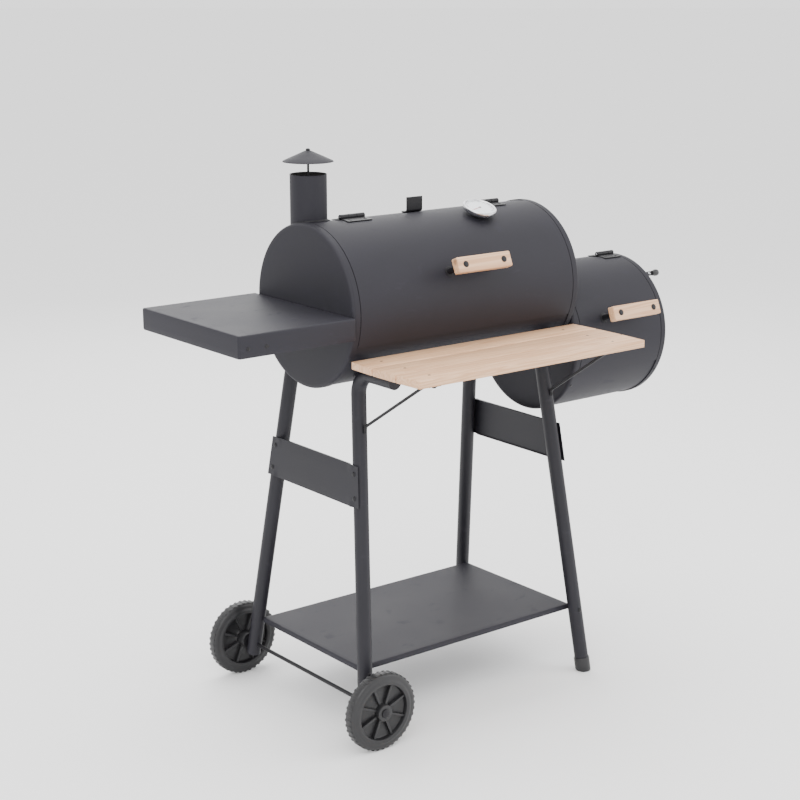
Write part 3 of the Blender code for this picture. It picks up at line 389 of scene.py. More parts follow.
class Recipe:
    """A material under construction."""

    def __init__(self, name: str) -> None:
        """Starts a material with a plain shader."""
        self.material = bpy.data.materials.new(name)
        self.material.use_nodes = True
        self.tree = self.material.node_tree
        self.shader = self.tree.nodes["Principled BSDF"]
        self.place = self.node("ShaderNodeTexCoord", {}, {}, "Object")

    def node(
        self, kind: str, settings: dict[str, Any], inputs: dict[str | int, Any], output: str | int
    ) -> Field:
        """Adds a node.

        Args:
            kind: the node's type.
            settings: its options, set first. "stops" are a ramp's places and colours.
            inputs: a value or a field for each socket.
            output: the socket that is used.

        Returns:
            The output as a field.
        """
        made = self.tree.nodes.new(kind)
        for name, value in settings.items():
            setattr(made, name, value)
        for key, value in inputs.items():
            if isinstance(value, Field):
                self.tree.links.new(value.socket, made.inputs[key])
            else:
                made.inputs[key].default_value = value
        return Field(self, made.outputs[output])

    def stretched(self, scale: Sequence[float], shift: Sequence[float] = (0, 0, 0)) -> Field:
        """The surface's own coordinates, scaled along each axis and shifted."""
        inputs = {"Vector": self.place, "Scale": tuple(scale), "Location": tuple(shift)}
        return self.node("ShaderNodeMapping", {}, inputs, "Vector")

    def noise(
        self, scale: float, detail: float = 2.0, at: Field | None = None, distortion: float = 0.0
    ) -> Field:
        """A cloudy value about 0.5."""
        inputs = {"Vector": at or self.place, "Scale": scale, "Detail": detail, "Distortion": distortion}
        return self.node("ShaderNodeTexNoise", {}, inputs, 0)

    def mix(self, amount: Field | float, first: Any, second: Any) -> Field:
        """A colour between two, by an amount."""
        ends = [(*end, 1.0) if isinstance(end, tuple) else end for end in (first, second)]
        return self.node("ShaderNodeMix", {"data_type": "RGBA"}, {0: amount, 6: ends[0], 7: ends[1]}, 2)

    def height(self, value: Field, depth: float, strength: float = 1.0) -> None:
        """Bumps the surface by a value, as much as depth in metres."""
        inputs = {"Height": value, "Distance": depth, "Strength": strength}
        self.feed("Normal", self.node("ShaderNodeBump", {}, inputs, "Normal"))

    def feed(self, socket: str, value: Any) -> None:
        """Gives the shader a field or a constant."""
        if isinstance(value, Field):
            self.tree.links.new(value.socket, self.shader.inputs[socket])
        else:
            self.shader.inputs[socket].default_value = value


@dataclass(frozen=True)
class HeatPaint:
    """Matt black stove paint: faint mottling, a fine grain, a little dust and some handling marks."""

    name: str
    colour: tuple[float, float, float] = (0.0150, 0.0140, 0.0200)
    roughness: float = 0.60
    grain: float = 0.00006

    def dress(self) -> bpy.types.Material:
        """Builds the material."""
        recipe = Recipe(self.name)
        clouds = recipe.noise(7.0, 4.0)
        speckle = recipe.noise(900.0, 2.0)
        rubbed = recipe.noise(26.0, 6.0, recipe.stretched((1.0, 1.6, 2.4)), 0.6).ramp(0.60, 0.74)
        pale = tuple(c * 1.42 + 0.004 for c in self.colour)
        deep = tuple(c * 0.80 for c in self.colour)
        base = recipe.mix(clouds.ramp(0.30, 0.70), deep, self.colour)
        recipe.feed("Base Color", recipe.mix(rubbed * 0.55 + speckle.ramp(0.55, 0.8) * 0.25, base, pale))
        recipe.feed("Roughness", clouds * 0.14 + rubbed * 0.10 + (self.roughness - 0.07))
        recipe.height(speckle * 0.7 + clouds * 0.3, self.grain * 4, 0.55)
        recipe.feed("Specular IOR Level", 0.30)
        return recipe.material


@dataclass(frozen=True)
class Soot:
    """The inside of a fired drum: dull, near black, with brown and grey bloom."""

    name: str

    def dress(self) -> bpy.types.Material:
        """Builds the material."""
        recipe = Recipe(self.name)
        bloom = recipe.noise(16.0, 6.0, None, 0.8)
        ash = recipe.noise(60.0, 4.0).ramp(0.56, 0.72)
        base = recipe.mix(bloom.ramp(0.35, 0.7), (0.010, 0.009, 0.009), (0.040, 0.030, 0.024))
        recipe.feed("Base Color", recipe.mix(ash * 0.35, base, (0.10, 0.095, 0.09)))
        recipe.feed("Roughness", bloom * 0.2 + 0.72)
        recipe.height(recipe.noise(420.0, 3.0) + ash, 0.0002, 0.6)
        return recipe.material


@dataclass(frozen=True)
class Pine:
    """Light pine with its grain along X: drawn-out rings, fine fibres, some knots, each board its own."""

    name: str
    board: float
    tone: float = 1.0

    def dress(self) -> bpy.types.Material:
        """Builds the material."""
        recipe = Recipe(self.name)
        shift = (self.board * 3.7, self.board * 1.9, self.board * 5.3)
        warp = recipe.noise(1.0, 2.0, recipe.stretched((3.0, 9.0, 9.0), shift))
        rings = recipe.noise(1.0, 3.0, recipe.stretched((1.5, 34.0, 26.0), shift), 0.9)
        bands = ((rings * 9.0 + warp * 2.0).maths("FRACT") - 0.5).maths("ABSOLUTE").ramp(0.06, 0.48)
        fibre = recipe.noise(1.0, 3.0, recipe.stretched((14.0, 900.0, 900.0), shift))
        pale = tuple(c * self.tone for c in (0.700, 0.440, 0.262))
        warm = tuple(c * self.tone for c in (0.520, 0.270, 0.135))
        wood = recipe.mix(bands * 0.62, pale, warm)
        wood = recipe.mix(fibre.ramp(0.52, 0.72) * 0.30, wood, tuple(c * 0.62 for c in warm))
        knot = recipe.node(
            "ShaderNodeTexVoronoi",
            {},
            {"Vector": recipe.stretched((5.0, 11.0, 11.0), shift), "Scale": 1.0},
            "Distance",
        )
        wood = recipe.mix((1 - knot.ramp(0.045, 0.12)) * 0.75, wood, (0.20, 0.095, 0.045))
        recipe.feed("Base Color", wood)
        recipe.feed("Roughness", bands * 0.08 + fibre * 0.12 + 0.44)
        recipe.height(fibre * 0.7 + bands * 0.6, 0.00025, 0.45)
        recipe.feed("Coat Weight", 0.08)
        return recipe.material


@dataclass(frozen=True)
class BareMetal:
    """Zinc or stainless: bright, with a brushed grain and some cloudiness."""

    name: str
    colour: tuple[float, float, float] = (0.56, 0.56, 0.57)
    roughness: float = 0.30
    brushed: tuple[float, float, float] = (60.0, 60.0, 900.0)

    def dress(self) -> bpy.types.Material:
        """Builds the material."""
        recipe = Recipe(self.name)
        lines = recipe.noise(1.0, 3.0, recipe.stretched(self.brushed))
        clouds = recipe.noise(45.0, 4.0)
        dull = tuple(c * 0.72 for c in self.colour)
        recipe.feed("Base Color", recipe.mix(clouds.ramp(0.35, 0.75) * 0.6, self.colour, dull))
        recipe.feed("Metallic", 1.0)
        recipe.feed("Roughness", lines * 0.16 + clouds * 0.12 + (self.roughness - 0.14))
        recipe.height(lines, 0.00004, 0.35)
        return recipe.material


@dataclass(frozen=True)
class Moulded:
    """Black plastic with a fine moulded grain and a trace of dust."""

    name: str
    colour: tuple[float, float, float] = (0.009, 0.0088, 0.010)
    roughness: float = 0.42

    def dress(self) -> bpy.types.Material:
        """Builds the material."""
        recipe = Recipe(self.name)
        grain = recipe.noise(1400.0, 2.0)
        dust = recipe.noise(38.0, 5.0, None, 0.4).ramp(0.52, 0.78)
        grey = tuple(c * 2.1 + 0.006 for c in self.colour)
        recipe.feed("Base Color", recipe.mix(dust * 0.5, self.colour, grey))
        recipe.feed("Roughness", dust * 0.22 + grain * 0.06 + (self.roughness - 0.03))
        recipe.height(grain, 0.00012, 0.4)
        return recipe.material


@dataclass(frozen=True)
class Seasoned:
    """Cast grate with baked-on oil: a coarse skin, sheen on the ridges and ash in the hollows."""

    name: str
    ash: float = 0.2

    def dress(self) -> bpy.types.Material:
        """Builds the material."""
        recipe = Recipe(self.name)
        skin = recipe.noise(520.0, 4.0)
        bloom = recipe.noise(30.0, 5.0)
        base = recipe.mix(bloom.ramp(0.35, 0.7), (0.020, 0.019, 0.019), (0.052, 0.043, 0.037))
        recipe.feed("Base Color", recipe.mix(skin.ramp(0.5, 0.8) * self.ash, base, (0.24, 0.23, 0.22)))
        recipe.feed("Roughness", bloom * 0.3 + 0.36)
        recipe.feed("Metallic", 0.25)
        recipe.height(skin, 0.0005, 0.6)
        return recipe.material


@dataclass(frozen=True)
class Plain:
    """A small even-coloured part, such as the dial's print, with a little life in its gloss."""

    name: str
    colour: tuple[float, float, float]
    roughness: float = 0.4

    def dress(self) -> bpy.types.Material:
        """Builds the material."""
        recipe = Recipe(self.name)
        clouds = recipe.noise(120.0, 3.0)
        pale = tuple(min(1.0, c * 1.08) for c in self.colour)
        recipe.feed("Base Color", recipe.mix(clouds, self.colour, pale))
        recipe.feed("Roughness", clouds * 0.1 + (self.roughness - 0.05))
        return recipe.material


@dataclass(frozen=True)
class ClearGlass:
    """The dial's flat cover."""

    name: str

    def dress(self) -> bpy.types.Material:
        """Builds the material."""
        recipe = Recipe(self.name)
        recipe.feed("Base Color", (0.95, 0.97, 1.0, 1.0))
        recipe.feed("Roughness", recipe.noise(60.0, 2.0) * 0.05 + 0.02)
        recipe.feed("Alpha", 0.12)
        return recipe.material


@dataclass
class Finishes:
    """Every material of the smoker, built once."""

    def __post_init__(self) -> None:
        """Builds them."""
        self.drum = HeatPaint("drum_paint").dress()
        self.frame = HeatPaint("frame_paint", (0.0125, 0.0118, 0.0165), 0.50, 0.00004).dress()
        # The tray paint is the drum paint made a little lighter. This is painted light for the lit top of the
        # side shelf, and the low tray shares it.
        self.tray = HeatPaint("tray_paint_with_painted_light", (0.0160, 0.0150, 0.0215), 0.58, 0.00005).dress()
        self.fitting = HeatPaint("fitting_paint", (0.0085, 0.0080, 0.0100), 0.46, 0.00004).dress()
        self.soot = Soot("drum_inside").dress()
        self.zinc = BareMetal("zinc_hardware", (0.50, 0.50, 0.52), 0.34).dress()
        self.stainless = BareMetal("stainless_bezel", (0.74, 0.74, 0.76), 0.24, (900.0, 60.0, 60.0)).dress()
        self.plastic = Moulded("wheel_plastic").dress()
        self.knob = Moulded("knob_plastic", (0.014, 0.014, 0.015), 0.30).dress()
        self.cast = Seasoned("cast_grate").dress()
        self.ashy = Seasoned("ashy_grate", 0.5).dress()
        self.dial = Plain("dial_face", (0.80, 0.81, 0.83), 0.35).dress()
        self.print = Plain("dial_print", (0.03, 0.03, 0.035), 0.5).dress()
        self.needle = Plain("dial_needle", (0.45, 0.03, 0.02), 0.4).dress()
        self.glass = ClearGlass("dial_cover").dress()

    def pine(self, board: int) -> bpy.types.Material:
        """The pine of one board, so that no two boards match."""
        tone = (1.0, 0.95, 1.03, 0.98, 1.04)[board % 5]
        return Pine(f"pine_board_{board}", board + 1.37, tone).dress()


class Slot(Enum):
    """The record's material slots."""

    PAINT = "black_paint"
    STEEL = "steel"
    PINE = "pine"
    PLASTIC = "black_plastic"
    GRATE = "cast_grate"


# ---- publishing -----------------------------------------------------------------------------------


def publish(
    name: str,
    shape: Shape,
    body: str,
    finish: bpy.types.Material,
    replaces: Sequence[str] = (),
    wall: float = 0.0,
    lining: bpy.types.Material | None = None,
    sharp: float = 34.0,
) -> bpy.types.Object:
    """Makes a shape a finished piece that rides on a body.

    Args:
        name: the piece's name.
        shape: in the maker's frame.
        body: what it moves with.
        finish: its material.
        replaces: the nodes it stands for.
        wall: a thickness, for a shape that is a sheet's middle surface.
        lining: the material of the side that faces away from the sheet's front.
        sharp: the angle in degrees above which an edge stays crisp.

    Returns:
        The piece.
    """
    mesh = bpy.data.meshes.new(name)
    mesh.from_pydata((shape.points + SHIFT).tolist(), [], shape.faces)
    work = bmesh.new()
    work.from_mesh(mesh)
    bmesh.ops.remove_doubles(work, verts=work.verts, dist=0.000002)
    bmesh.ops.dissolve_degenerate(work, edges=work.edges, dist=0.000001)
    if not wall:
        bmesh.ops.recalc_face_normals(work, faces=work.faces)
    work.to_mesh(mesh)
    work.free()
    piece = bpy.data.objects.new(name, mesh)
    bpy.context.scene.collection.objects.link(piece)
    for material in filter(None, (finish, lining)):
        mesh.materials.append(material)
    if wall:
        thicken = piece.modifiers.new("wall", "SOLIDIFY")
        thicken.thickness = wall
        thicken.offset = 0
        thicken.use_even_offset = True
        thicken.material_offset = 1 if lining else 0
        graph = bpy.context.evaluated_depsgraph_get()
        piece.data = bpy.data.meshes.new_from_object(piece.evaluated_get(graph))
        piece.modifiers.clear()
        bpy.data.meshes.remove(mesh)
        piece.data.name = name
    piece.data.shade_smooth()
    piece.data.set_sharp_from_angle(angle=math.radians(sharp))
    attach(piece, body)
    if replaces:
        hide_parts(*replaces)
    log.info("%s: %d faces, rides on %s", name, len(piece.data.polygons), body)
    return piece


# ---- drums ----------------------------------------------------------------------------------------


@dataclass
class Drum:
    """A lidded drum: bent sheets between two pressed end caps, hinges on top and a wooden handle.

    Args:
        name: the drum's name, which its nodes start with.
        lid_body: what the lid's pieces ride on.
        left: X of its left end.
        right: X of its right end.
        height: Z of its axis.
        radius: of the lid's outside.
        hinges: X of each hinge's middle.
        hinge_length: of each hinge.
        boards: the number of its handle's board.
    """

    name: str
    lid_body: str
    left: float
    right: float
    height: float
    radius: float
    hinges: tuple[float, float]
    hinge_length: float
    board: int
    flange: float = 0.017
    edge: float = 0.007
    lid_low: float = -22.0
    shell_low: float = -14.0
    lid_back_gap: float = 0.0065
    handle_angle: float = 23.0
    handle_gap: float = 0.037
    handle_length: float = 0.137
    handle_bolts: float = 0.098

    @property
    def inner(self) -> float:
        """Outer radius of the fixed sheet."""
        return self.radius - 0.002

    @property
    def lid_back(self) -> float:
        """The angle of the lid's back edge."""
        return 90.0 - math.degrees(math.asin(self.lid_back_gap / self.radius))

    @property
    def middle(self) -> float:
        """X half way along."""
        return (self.left + self.right) / 2

    def bent(self, low: float, high: float, radius: float, left: float, right: float, rows: int) -> Points:
        """A bent sheet's middle surface: y = -r cos a, z = height + r sin a, for X from left to right."""
        angle = np.radians(np.linspace(low, high, rows))[:, None]
        x = np.linspace(left, right, 40)[None, :]
        y = -radius * np.cos(angle) + 0 * x
        z = self.height + radius * np.sin(angle) + 0 * x
        return np.stack([x + 0 * y, y, z], axis=-1)

    def out(self, angle: float) -> Points:
        """The direction straight out of the drum at an angle."""
        turn = math.radians(angle)
        return np.array((0.0, -math.cos(turn), math.sin(turn)))

    def round(self, angle: float) -> Points:
        """The direction along the drum's skin at an angle, towards greater angles."""
        turn = math.radians(angle)
        return np.array((0.0, math.sin(turn), math.cos(turn)))

    def on(self, x: float, angle: float, radius: float) -> Points:
        """A place at a distance from the axis."""
        return np.array((x, 0.0, self.height)) + self.out(angle) * radius

    def lid(self, finishes: Finishes) -> None:
        """The lid's sheet, bent round from its low edge to its back edge, stopping a little short of each
        end's rim.
        """
        low, high = self.lid_low, self.lid_back
        gap = 0.0015
        middle = self.bent(
            low,
            high,
            self.radius - SHEET / 2,
            self.left + self.flange + gap,
            self.right - self.flange - gap,
            120,
        )
        publish(
            f"{self.name}_lid_sheet",
            grid(middle),
            self.lid_body,
            finishes.drum,
            (f"{self.name}_lid",),
            SHEET,
            finishes.soot,
        )

    def shell(self, finishes: Finishes, flue: tuple[float, float, float] | None) -> None:
        """The fixed sheet, from under the lid's back edge round the back and the belly to its front edge.

        Args:
            finishes: the materials.
            flue: X, Y and radius of a hole in the top, if it has one.
        """
        inset = self.edge + 0.0005
        low = self.lid_back - 4.0 - 360.0
        middle = self.inner - SHEET / 2
        points = self.bent(low, self.shell_low, middle, self.left + inset, self.right - inset, 260)
        keep = None
        if flue:
            centre = (points[:-1, :-1] + points[1:, :-1] + points[:-1, 1:] + points[1:, 1:]) / 4
            away = np.hypot(centre[..., 0] - flue[0], centre[..., 1] - flue[1])
            keep = (away > flue[2]) | (centre[..., 2] < self.height)
        publish(
            f"{self.name}_fixed_sheet",
            grid(points, keep=keep),
            "smoker",
            finishes.drum,
            (f"{self.name}_shell",),
            SHEET,
            finishes.soot,
        )

    def end_cap(
        self,
        side: Side,
        finishes: Finishes,
        window: Points | None = None,
        vents: Points | None = None,
        bite: tuple[float, float, float] | None = None,
    ) -> None:
        """A pressed end: a disc, a rounded edge and a rim over the fixed sheet.

        The disc's rings run straight from the window's outline, or from the middle, out to the edge. Past
        it a point lies at depth a along the drum and at radius rim - bend + sqrt(bend^2 - (bend - a)^2).
        Where the chimney stands, the rim is only as deep as the gap between the drum's end and a circle.

        Args:
            side: which end.
            finishes: the materials.
            window: outline of an opening, (y, z) from the drum's axis.
            vents: the (y, z) middles of round holes 24 mm across.
            bite: X, Y and radius of the circle that the rim keeps clear of.
        """
        sign = side.value
        face = self.left if side is Side.LEFT else self.right
        half = SHEET / 2
        rim, bend = self.radius - half, self.edge - half
        flat = rim - bend
        if window is None:
            angle = np.linspace(0, 2 * np.pi, 192, endpoint=False)
            inner = np.zeros((192, 2))
        else:
            heart = window.mean(axis=0)
            ray = unit(window - heart)
            along = ray @ heart
            reach = -along + np.sqrt(along**2 - heart @ heart + flat**2)
            hit = heart + ray * reach[:, None]
            angle = np.arctan2(hit[:, 1], hit[:, 0])
            inner = window
        around = np.stack([np.cos(angle), np.sin(angle)], axis=-1)
        share = np.concatenate([np.linspace(0, 0.30, 24), np.linspace(0.34, 1, 18)])[:, None, None]
        disc = inner + (around * flat - inner) * share
        plane = np.full((*disc.shape[:2], 1), face - sign * half)
        disc = np.concatenate([plane, disc + (0, self.height)], axis=-1)
        keep_disc = np.ones((disc.shape[0] - 1, disc.shape[1]), bool)
        if vents is not None:
            disc, keep_disc = punched(disc, vents + (0, self.height), 0.012, 0.0011)
        width = np.full(len(angle), self.flange)
        if bite:
            off = rim * around[:, 0] - bite[1]
            chord = np.sqrt(np.maximum(bite[2] ** 2 - off**2, 0))
            touched = (np.abs(off) < bite[2]) & (around[:, 1] > 0)
            width = np.where(touched, np.minimum(width, bite[0] - chord - face), width)
        depth = half + bend * (1 - np.cos(np.linspace(0, np.pi / 2, 7)[1:]))
        depth = np.concatenate([depth, np.linspace(depth[-1], self.flange, 6)[1:]])[:, None]
        depth = np.minimum(depth, width[None, :])
        curve = np.sqrt(np.maximum(bend**2 - np.maximum(bend + half - depth, 0) ** 2, 0))
        radius = flat + curve
        edge = np.stack(
            [face - sign * depth, radius * around[:, 0], self.height + radius * around[:, 1]], axis=-1
        )
        points = np.concatenate([disc, edge])
        keep = np.concatenate([keep_disc, np.ones((len(edge), len(angle)), bool)])
        if side is Side.RIGHT:
            points, keep = points[:, ::-1], np.roll(keep[:, ::-1], -1, 1)
        shape = grid(points, ring=True, keep=keep)
        name = "left" if side is Side.LEFT else "right"
        publish(
            f"{self.name}_end_{name}",
            shape,
            "smoker",
            finishes.drum,
            (f"{self.name}_end_cap_{name}",),
            SHEET,
            finishes.soot,
        )

    def rivets(self, finishes: Finishes, skip: Side | None) -> None:
        """Rivet heads through each rim into the fixed sheet, round the belly and the back."""
        heads = [
            dome(self.on(end + inward * 0.0105, angle, self.radius - 0.0001), self.out(angle), 0.0035, 0.0014)
            for end, inward, side in ((self.left, 1, Side.LEFT), (self.right, -1, Side.RIGHT))
            if side is not skip
            for angle in (-32.0, -90.0, -148.0, -205.0)
        ]
        publish(f"{self.name}_rim_rivets", together(heads), "smoker", finishes.fitting)

    def hinge(self, label: str, x: float, finishes: Finishes) -> None:
        """Two leaves that lie along the skin, three knuckles round a headed pin, and rivets."""
        length = self.hinge_length
        third = length / 3
        axis = self.height + self.radius + 0.0045
        far = 0.0292
        for kind, sign, seat, near, body in (
            ("lid_leaf", -1, self.radius, 0.0032, self.lid_body),
            ("base_leaf", 1, self.inner, 0.0, "smoker"),
        ):
            angle = 90.0 + sign * math.degrees(math.asin((near + far) / 2 / self.radius))
            out, along = self.out(angle), self.round(angle)
            leaf = slab(length, far - near, 0.0015, 0.003, 0.0004, 4)
            plate = leaf.placed(self.on(x, angle, seat + 0.00105), ALONG, along, out)
            keep_out = [0.0] if kind == "lid_leaf" else [-third, third]
            knuckle = turned(
                [(0.0024, -third / 2 + 0.0003), (0.0046, -third / 2 + 0.0003), (0.005, -third / 2 + 0.0007)]
                + [(0.005, third / 2 - 0.0007), (0.0046, third / 2 - 0.0003), (0.0024, third / 2 - 0.0003)]
                + [(0.0024, -third / 2 + 0.0003)],
                28,
            )
            barrels = [knuckle.facing((x + offset, 0, axis), ALONG) for offset in keep_out]
            heads = [
                dome(
                    self.on(x + spread, 90.0 + sign * 7.0, seat + 0.0017),
                    self.out(90.0 + sign * 7.0),
                    0.0034,
                    0.0013,
                )
                for spread in (-length * 0.31, length * 0.31)
            ]
            publish(
                f"{self.name}_{kind}_{label}",
                together([plate, *barrels, *heads]),
                body,
                finishes.fitting,
                (f"{self.name}_hinge_{kind}_{label}",),
            )
        half = length / 2
        pin = turned(
            [(0, half), (0.0017, half), (0.0020, half - 0.0004)]
            + [(0.0020, -half + 0.0004), (0.0017, -half), (0, -half)],
            20,
        )
        publish(
            f"{self.name}_pin_{label}",
            pin.facing((x, 0, axis), ALONG),
            "smoker",
            finishes.zinc,
            (f"{self.name}_hinge_pin_{label}",),
        )

    def handle(self, finishes: Finishes) -> None:
        """A pine bar on two sleeved bolts with dark domed heads."""
        out, along = self.out(self.handle_angle), self.round(self.handle_angle)
        back = self.radius + self.handle_gap
        bar = slab(self.handle_length, 0.031, 0.018, 0.0032, 0.0022, 6)
        publish(
            f"{self.name}_handle_wood",
            bar.placed(self.on(self.middle, self.handle_angle, back + 0.009), ALONG, along, out),
            self.lid_body,
            finishes.pine(self.board),
            (f"{self.name}_handle_bar",),
        )
        for label, sign in (("left", -1), ("right", 1)):
            x = self.middle + sign * self.handle_bolts / 2
            foot = self.on(x, self.handle_angle, 0.0)
            skin = self.radius
            sleeve = turned(
                [(0, skin), (0.0105, skin), (0.0105, skin + 0.0010), (0.0098, skin + 0.0014)]
                + [(0.0064, skin + 0.0018), (0.0060, back - 0.0016), (0.0086, back - 0.0012)]
                + [(0.0086, back), (0, back)],
                28,
            )
            front = back + 0.018
            head = turned(
                [(0, front - 0.002), (0.0064, front - 0.002), (0.0064, front + 0.0006)]
                + [(0.0052, front + 0.0013), (0.0028, front + 0.0017), (0, front + 0.0018)],
                28,
            )
            publish(
                f"{self.name}_handle_bolt_{label}",
                (sleeve + head).facing(foot, out),
                self.lid_body,
                finishes.fitting,
                (f"{self.name}_handle_stud_{label}",),
            )


def cooking_grate(name: str, body: str, finish: bpy.types.Material) -> None:
    """A grate of round-topped bars in a frame, as large as its node.

    Args:
        name: the node.
        body: what it rides on.
        finish: its material.
    """
    low, high = (np.array(corner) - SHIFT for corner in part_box(name))
    size, centre = high - low, (high + low) / 2
    count = int((size[0] - 0.012) / 0.014)
    places = np.linspace(low[0] + 0.003, high[0] - 0.003, count)
    bars = [
        slab(0.0046, size[1] - 0.004, size[2] * 0.9, 0.0010, 0.0014, 2).moved((x, centre[1], centre[2]))
        for x in places
    ]
    rails = [
        slab(size[0], 0.006, size[2], 0.0020, 0.0014, 3).moved((centre[0], y, centre[2]))
        for y in (low[1] + 0.003, centre[1], high[1] - 0.003)
    ]
    publish(f"{name}_bars", together([*bars, *rails]), body, finish, (name,))


# ---- what stands on the drums ---------------------------------------------------------------------


@dataclass
class Thermometer:
    """A round dial on the lid: steel case, printed face, needle, cover and a probe through the lid."""

    drum: Drum
    x: float = 0.105
    angle: float = 70.0
    radius: float = 0.035
    back: float = 0.006
    depth: float = 0.012

    def build(self, finishes: Finishes) -> None:
        """Builds and dresses it."""
        out, along = self.drum.out(self.angle), self.drum.round(self.angle)
        foot = self.drum.on(self.x, self.angle, self.drum.radius)
        low, top = self.back, self.back + self.depth
        r = self.radius
        lip = np.linspace(0, np.pi, 9)
        bead = [
            (float(r - 0.0024 + 0.0024 * np.cos(t)), float(top - 0.0024 + 0.0024 * np.sin(t))) for t in lip
        ]
        case = turned(
            [(0, low), (r - 0.007, low), (r - 0.003, low + 0.0012), (r - 0.0006, low + 0.0045), *bead]
            + [(r - 0.0050, top - 0.0035), (0, top - 0.0035)],
            72,
        )
        body = self.drum.lid_body
        shape = case.placed(foot, ALONG, along, out)
        publish("dial_case", shape, body, finishes.stainless, ("thermometer_case",))
        rim, high, low = r - 0.0052, top - 0.0030, top - 0.0036
        face = turned([(0, high), (rim, high), (rim, low), (0, low)], 64)
        publish("dial_face", face.placed(foot, ALONG, along, out), body, finishes.dial)
        marks = []
        for step in range(41):
            turn = math.radians(225 - step * 6.75)
            long = step % 5 == 0
            length = 0.0048 if long else 0.0026
            mark = slab(length, 0.0008 if long else 0.0004, 0.0002, 0.00005, 0.00005, 2)
            ahead = np.array((math.cos(turn), math.sin(turn), 0))
            side = np.array((-math.sin(turn), math.cos(turn), 0))
            marks.append(mark.placed(ahead * (0.0285 - length / 2) + UP * (top - 0.0029), ahead, side, UP))
        hub = turned([(0, 0.0007), (0.0026, 0.0007), (0.003, 0), (0, 0)], 24)
        marks.append(hub.moved((0, 0, top - 0.0028)))
        shape = together(marks).placed(foot, ALONG, along, out)
        publish("dial_marks", shape, body, finishes.print)
        turn = math.radians(196)
        ahead = np.array((math.cos(turn), math.sin(turn), 0))
        side = np.array((-math.sin(turn), math.cos(turn), 0))
        pointer = slab(0.026, 0.0015, 0.0004, 0.0006, 0.0001, 3).placed(
            ahead * 0.009 + UP * (top - 0.0023), ahead, side, UP
        )
        publish("dial_pointer", pointer.placed(foot, ALONG, along, out), body, finishes.needle)
        rim, high, low = r - 0.0046, top - 0.0014, top - 0.0019
        cover = turned([(0, high), (rim, high), (rim, low), (0, low)], 64)
        publish("dial_cover", cover.placed(foot, ALONG, along, out), body, finishes.glass)
        nut = turned([(0, 0.0004), (0.009, 0.0004), (0.009, 0.0050), (0.0078, 0.0057), (0, 0.0057)], 6)
        stem = turned([(0, 0.002), (0.0028, 0.002), (0.0028, -0.048), (0.0018, -0.0515), (0, -0.0522)], 24)
        publish(
            "dial_stem",
            (nut + stem).placed(foot, ALONG, along, out),
            body,
            finishes.stainless,
            ("thermometer_probe",),
        )


@dataclass
class Chimney:
    """A short pipe welded to a saddle flange, and a rain cap on a rod that slides in a cross bar."""

    drum: Drum
    x: float = -0.2455
    y: float = 0.048
    radius: float = 0.0366
    top: float = 1.0993
    brim: float = 1.1226
    flange: float = 0.006

    def foot(self, radius: float, lift: float, angle: Points) -> Points:
        """A ring on the drum: x and y on a circle, z = height + sqrt((inner + lift)^2 - y^2)."""
        x = self.x + radius * np.cos(angle)
        y = self.y + radius * np.sin(angle)
        z = self.drum.height + np.sqrt((self.drum.inner + lift) ** 2 - y**2)
        return np.stack([x, y, z], axis=-1)

    def build(self, finishes: Finishes) -> None:
        """Builds and dresses it."""
        angle = np.linspace(0, 2 * np.pi, 96, endpoint=False)
        half = SHEET / 2
        base = self.foot(self.radius - half, 0.0006, angle)
        share = np.linspace(0, 1, 30)[:, None, None]
        crown = np.stack([base[:, 0], base[:, 1], np.full(96, self.top - 0.0004)], axis=-1)
        wall = base + (crown - base) * share
        shape = grid(wall, ring=True)
        nodes = ("chimney_pipe",)
        publish("chimney_tube", shape, "smoker", finishes.drum, nodes, SHEET, finishes.soot)
        radii = np.linspace(self.radius - 0.0002, self.radius + self.flange, 6)
        saddle = np.stack([self.foot(float(r), 0.00115, angle) for r in radii])
        publish("chimney_saddle", grid(saddle, ring=True), "smoker", finishes.drum, wall=0.0014)
        ripple = 0.0016 + 0.00022 * np.sin(angle * 46)
        seam = self.foot(self.radius + 0.0006, 0.0022, angle)
        outward = np.stack([np.cos(angle), np.sin(angle), 0 * angle], axis=-1)
        section = circle(1.0, 10)
        rings = (
            seam[:, None]
            + ripple[:, None, None] * (section[None, :, :1] * outward[:, None] + section[None, :, 1:] * UP)
        )
        bead = grid(np.concatenate([rings, rings[:1]]), ring=True)
        publish("chimney_weld", bead, "smoker", finishes.fitting)
        lip = swept(
            np.array((self.x, self.y, self.top - 0.0009)) + outward * (self.radius - half),
            circle(0.0009, 10),
            UP,
            ring=True,
        )
        publish("chimney_lip", lip, "smoker", finishes.drum)
        bar = slab(2 * 0.0340, 0.012, 0.002, 0.0008, 0.0003, 3).moved((self.x, self.y, self.top - 0.014))
        publish("chimney_bar", bar, "smoker", finishes.fitting, ("chimney_cross_bar",))
        rise = 0.0215
        cone = [
            (0.0031, rise - 0.0002),
            (0.0070, rise - 0.0012),
            (0.0200, rise - 0.0070),
            (0.0350, rise - 0.0137),
            (0.0490, 0.0013),
            (0.0497, 0.0006),
            (0.0497, 0.0002),
        ]
        hat = turned(cone[::-1], 72).moved((self.x, self.y, self.brim + 0.0003))
        nodes = ("chimney_rain_cap",)
        publish("rain_hat", hat, "rain_cap", finishes.drum, nodes, 0.0011, finishes.soot)
        tip = rise + 0.0009
        low = tip + 0.004 - 0.088
        rod = turned([(0, tip), (0.0022, tip), (0.0022, low + 0.0008), (0.0014, low), (0, low)], 20)
        acorn = turned(
            [(0, tip), (0.0048, tip), (0.0048, tip + 0.0022), (0.0038, tip + 0.0030)]
            + [(0.0022, tip + 0.0037), (0, tip + 0.0040)],
            6,
        )
        under = turned([(0, 0.0158), (0.0048, 0.0158), (0.0048, 0.0188), (0, 0.0192)], 6)
        publish(
            "rain_hat_rod",
            (rod + acorn + under).moved((self.x, self.y, self.brim)),
            "rain_cap",
            finishes.fitting,
            ("chimney_cap_rod",),
        )


